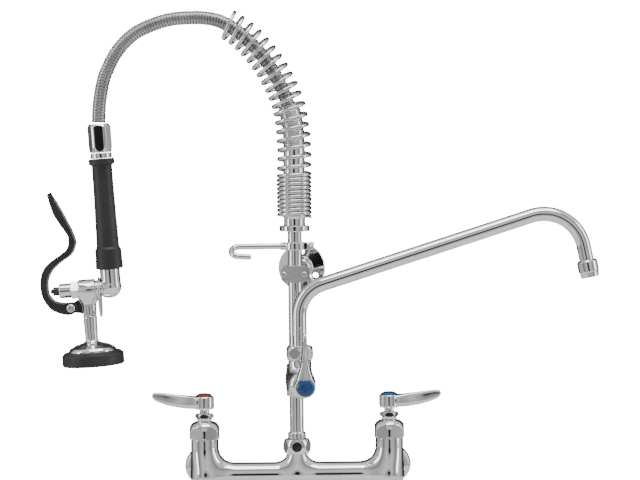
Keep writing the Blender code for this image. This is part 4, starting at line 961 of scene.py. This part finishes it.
def gun_elbow():
    leg = [(0, GRIP_BOTTOM - GAP), (0.0112, GRIP_BOTTOM - GAP), (0.0112, VALVE_AXIS), (0, VALVE_AXIS)]
    knee = [(0.0112 * math.sin(a), VALVE_AXIS + 0.0112 * math.cos(a)) for a in np.linspace(0, math.pi, 25)]
    arm = [(0, 0.0170), (0.0090, 0.0170), (0.0090, 0.0090), (0.0108, 0.0080), (0.0110, 0.0), (0, 0.0)]
    solids = [(knee, gun, 0.001), (leg, gun, 0.002), (arm, valve, 0.0012)]
    finish(casting("handle_elbow_cast", solids, 0.0006), "handle_elbow")


def spray_valve():
    barrel = [(0, 0.0352), (0.0110, 0.0352), (0.0110, 0.0173), (0, 0.0173)]
    outlet = [(0, 0.0), (0.0080, 0.0), (0.0080, -0.0150), (0.0078, -0.0230), (0.0076, -0.0288), (0, -0.0288)]
    axis = spray @ Matrix.Translation((0, 0, VALVE_AXIS))
    body = casting("valve_body_skin", [(barrel, valve, 0.001), (outlet, axis, 0.009)], 0.0006)
    lug_outline = arc((PIVOT[0], PIVOT[2]), 0.0050, math.radians(80), math.radians(280), 24)
    lug_outline += [(-0.0300, -0.2080), (-0.0300, -0.1880)]
    lug = prism("lever_lug", lug_outline, -0.002, 0.002, gun @ placed((0, 0, 0), OUT, RIGHT))
    finish(join("spray_valve_body_cast", [body, carved(lug, edge=0.0006)]), "spray_valve_body")
    band = hexagon("bonnet_hexagon", 0.0186, 0.0355, 0.0437, valve, math.pi / 6)
    turning = lathe("bonnet_turning", [(0, 0.0437), (0.0094, 0.0437), (0.0107, 0.0425), (0.0107, 0.0366),
                                       (0.0094, 0.0355), (0, 0.0355)], valve, radius=0)
    cap = lathe("bonnet_cap", [
        (0.0051, 0.0570), (0.0074, 0.0570), (0.00815, 0.0560), (0.00815, 0.0445), (0.0070, 0.0430),
        (0.0051, 0.0430)], valve, hollow=True, radius=0.0007)
    bore = lathe("bonnet_bore", [(0, 0.0500), (0.0051, 0.0500), (0.0051, 0.0400), (0, 0.0400)], valve,
                 radius=0)
    band = carved(band, cutters=(bore,), limits=(turning,))
    finish(join("valve_bonnet_turned", [band, cap]), "valve_bonnet")
    plunger = lathe("plunger_moulded", [
        (0, 0.0665), (0.0018, 0.0665), (0.0025, 0.0658), (0.0025, 0.0638), (0.0048, 0.0634), (0.0048, 0.0470),
        (0, 0.0470)], valve, radius=0.0006)
    finish(plunger, "plunger")


# Outer and inner edges of the squeeze lever, across and up from its pivot.
SQUEEZE_OUTER = ((-0.0172, 0.1262), (-0.0113, 0.1041), (-0.0018, 0.0869), (0.0024, 0.0790), (0.0024, 0.0701),
                 (-0.0018, 0.0630), (-0.0131, 0.0558), (-0.0235, 0.0483), (-0.0292, 0.0394),
                 (-0.0316, 0.0279), (-0.0308, 0.0164), (-0.0265, 0.0062), (-0.0190, -0.0020),
                 (-0.0065, -0.0070), (0.0010, -0.0072))
SQUEEZE_INNER = ((0.0012, 0.0062), (-0.0085, 0.0062), (-0.0165, 0.0088), (-0.0223, 0.0158), (-0.0232, 0.0250),
                 (-0.0218, 0.0345), (-0.0156, 0.0439), (-0.0063, 0.0514), (0.0052, 0.0589), (0.0104, 0.0690),
                 (0.0106, 0.0745), (0.0072, 0.0855), (-0.0023, 0.1072), (-0.0128, 0.1284))
SQUEEZE_THICKNESS = 0.0095


def finger_bump(height):
    """Height of the grip ridges moulded on the upper part of the lever's outer edge."""
    low, high, count, rise = 0.088, 0.118, 9, 0.0002
    if not low < height < high:
        return 0.0
    return rise * (1 - math.cos(math.tau * count * (height - low) / (high - low)))


def band_along(edge, outside, inside):
    """Outline of a narrow band that follows an edge, reaching out and in from it."""
    points = np.array(edge)
    slope = np.gradient(points, axis=0)
    normal = np.stack([slope[:, 1], -slope[:, 0]], axis=1) / np.linalg.norm(slope, axis=1)[:, None]
    far, near = points + outside * normal, points - inside * normal
    return [tuple(p) for p in np.concatenate([far, near[::-1]])]


def squeeze_lever():
    outer = [(p.x - finger_bump(p.y), p.y) for p in smooth_line([(*p, 0) for p in SQUEEZE_OUTER], 16)]
    inner = [(p.x, p.y) for p in smooth_line([(*p, 0) for p in SQUEEZE_INNER], 8)]
    eye = arc((0, 0), 0.0066, math.radians(-60), math.radians(60), 16)
    face = pivot_frame @ placed((0, 0, 0), OUT, RIGHT)
    half = SQUEEZE_THICKNESS / 2
    plate = prism("squeeze_lever_plate", outer + eye + inner, -half, half, face)
    slot = prism("lever_slot", [(-0.0062, -0.0120), (0.0200, -0.0120), (0.0200, 0.0100), (-0.0062, 0.0100)],
                 -0.0023, 0.0023, face)
    lever = carved(plate, cutters=(slot,), edge=0.0011)
    finish(lever, "squeeze_lever")
    strip = prism("lever_wear_strip", band_along(inner[6:-3], 0.0003, 0.0012), -half - 0.0003, half + 0.0003,
                  face)
    strip.data.materials.append(PAINT["stainless"])
    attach(strip, BODY_OF["squeeze_lever"])
    height = half + GAP
    screw = lathe("lever_pivot_screw_head", [
        (0, height + 0.0014), (0.0014, height + 0.0014), (0.0017, height + 0.0022), (0.0030, height + 0.0022),
        (0.0046, height + 0.0009), (0.0046, height), (0.0021, height), (0.0021, -height), (0, -height)], face,
        radius=0.0004)
    finish(screw, "lever_pivot_screw")


def hold_down_ring():
    radius, half_width, half_height = 0.00145, 0.0140, 0.0205
    centre = VALVE_AXIS + 0.0090 + radius + 0.0004 - half_height
    angles = np.arange(96) * math.tau / 96
    line = [gun @ Vector((-0.0129, half_width * math.cos(a), centre + half_height * math.sin(a)))
            for a in angles]
    finish(sweep("hold_down_ring_wire", line, radius, 20, closed=True), "hold_down_ring")


def spray_head():
    stem = [(0.0052, -0.2101), (0.0077, -0.2101), (0.0077, -0.2130), (0.0070, -0.2370), (0.0085, -0.2392),
            (0.0180, -0.2420), (0.0245, -0.2455), (0.0265, -0.2480), (0.0265, -0.2520), (0.0240, -0.2520),
            (0.0228, -0.2480), (0.0170, -0.2442), (0.0052, -0.2420)]
    finish(lathe("spray_head_spun", stem, spray, hollow=True, radius=0.0030), "spray_head")
    bumper = [(0.0270, -0.2495), (0.0318, -0.2497), (0.0322, -0.2512), (0.0335, -0.2518), (0.0341, -0.2535),
              (0.0341, -0.2625), (0.0333, -0.2645), (0.0300, -0.2652), (0.0262, -0.2652), (0.0262, -0.2523),
              (0.0270, -0.2523)]
    finish(lathe("rubber_bumper_moulded", bumper, spray, hollow=True, radius=0.0008, steps=128),
           "rubber_bumper")
    face = lathe("spray_face_moulded", [
        (0, -0.2565), (0.0240, -0.2565), (0.0259, -0.2580), (0.0259, -0.2620), (0.0240, -0.2632),
        (0.0200, -0.2634), (0.0190, -0.2624), (0.0180, -0.2634), (0.0060, -0.2637), (0, -0.2638)], spray)
    holes = []
    for index in range(8):
        angle = math.tau * index / 8
        spot = spray @ Matrix.Translation((0.0140 * math.cos(angle), 0.0140 * math.sin(angle), 0))
        holes.append(lathe("spray_hole", [(0, -0.2600), (0.0016, -0.2600), (0.0016, -0.2700), (0, -0.2700)],
                           spot, radius=0, steps=24))
    finish(carved(face, cutters=holes, edge=0.0002), "spray_face")


gun_grip()
gun_elbow()
spray_valve()
squeeze_lever()
hold_down_ring()
spray_head()

# ---------------------------------------------------------------- CAD nodes that stay as they are
for node in ("left_handle_screw", "right_handle_screw", "addon_handle_screw"):
    for slot in frame["nodes"][node].material_slots:
        slot.material = PAINT[SLOT_OF[node]]

# ---------------------------------------------------------------- studio
FLOOR_DROP = 0.25
FLOOR_HALF = 1.3


def studio_floor():
    """Pale floor below the object, with a rounded rim."""
    level = CAD_BOX[0][2] - FLOOR_DROP
    corners = softened([(-FLOOR_HALF, -FLOOR_HALF), (FLOOR_HALF, -FLOOR_HALF), (FLOOR_HALF, FLOOR_HALF),
                        (-FLOOR_HALF, FLOOR_HALF)], 0.4, closed=True, bend_steps=12)
    floor = prism("studio_floor", corners, level - 0.02, level)
    material, tree, shader = new_material("pale_paper")
    tint(tree, shader, noise(tree, 6, 3), (0.78, 0.78, 0.78), (0.82, 0.82, 0.82))
    shader.inputs["Roughness"].default_value = 0.9
    floor.data.materials.append(material)


def softbox(name, place, target, width, height, energy):
    data = bpy.data.lights.new(name, "AREA")
    data.shape = "RECTANGLE"
    data.size = width
    data.size_y = height
    data.energy = energy
    light = bpy.data.objects.new(name, data)
    bpy.context.scene.collection.objects.link(light)
    light.location = place
    light.rotation_euler = (Vector(target) - Vector(place)).to_track_quat("-Z", "Y").to_euler()


def levels_along(tree, source, levels):
    """Colour ramp over a direction cosine, from -1 to 1."""
    shift = tree.nodes.new("ShaderNodeMapRange")
    shift.inputs["From Min"].default_value = -1.0
    shift.inputs["From Max"].default_value = 1.0
    ramp = tree.nodes.new("ShaderNodeValToRGB")
    ramp.color_ramp.interpolation = "EASE"
    elements = ramp.color_ramp.elements
    elements.remove(elements[-1])
    elements[0].position = levels[0][0]
    elements[0].color = (levels[0][1],) * 3 + (1,)
    for position, level in levels[1:]:
        elements.new(position).color = (level, level, level, 1)
    tree.links.new(source, shift.inputs["Value"])
    tree.links.new(shift.outputs["Result"], ramp.inputs["Fac"])
    return ramp.outputs["Color"]


BACKDROP = 24.0                   # the white world background behind the object, as the camera sees it
ROOM = 1.25                       # the room that the polished metal reflects
DEPTH_LEVELS = ((0.0, 0.01), (0.004, 0.03), (0.009, 0.45), (0.03, 0.75), (0.10, 0.52), (0.20, 0.26),
                (0.30, 0.70), (0.50, 0.95), (0.68, 0.62), (0.78, 0.14), (0.86, 0.04), (0.95, 0.06),
                (1.0, 0.20))
HEIGHT_LEVELS = ((0.0, 0.45), (0.30, 0.55), (0.46, 0.80), (0.56, 0.90), (0.75, 1.0), (1.0, 1.0))


def studio_world():
    """Room for the chrome to reflect: dark behind the camera, bright at the sides and overhead."""
    world = bpy.data.worlds.new("studio_room")
    world.use_nodes = True
    bpy.context.scene.world = world
    tree = world.node_tree
    nodes, links = tree.nodes, tree.links
    place = nodes.new("ShaderNodeTexCoord")
    axes = nodes.new("ShaderNodeSeparateXYZ")
    links.new(place.outputs["Generated"], axes.inputs["Vector"])
    product = nodes.new("ShaderNodeVectorMath")
    product.operation = "MULTIPLY"
    links.new(levels_along(tree, axes.outputs["Y"], DEPTH_LEVELS), product.inputs[0])
    links.new(levels_along(tree, axes.outputs["Z"], HEIGHT_LEVELS), product.inputs[1])
    room = nodes["Background"]
    room.inputs["Strength"].default_value = ROOM
    links.new(product.outputs["Vector"], room.inputs["Color"])
    sweep_white = nodes.new("ShaderNodeBackground")
    sweep_white.inputs["Strength"].default_value = BACKDROP
    path = nodes.new("ShaderNodeLightPath")
    mix = nodes.new("ShaderNodeMixShader")
    links.new(path.outputs["Is Camera Ray"], mix.inputs["Fac"])
    links.new(room.outputs["Background"], mix.inputs[1])
    links.new(sweep_white.outputs["Background"], mix.inputs[2])
    links.new(mix.outputs["Shader"], nodes["World Output"].inputs["Surface"])


studio_floor()
studio_world()
middle = Vector((0, RISER.y, 0.25))
softbox("top_softbox", (0.2, -0.8, 2.2), middle, 1.8, 1.2, 34)
softbox("left_strip", (-1.7, -0.7, 0.7), middle, 0.35, 1.6, 9)
softbox("right_strip", (1.8, -0.5, 0.6), middle, 0.35, 1.6, 9)
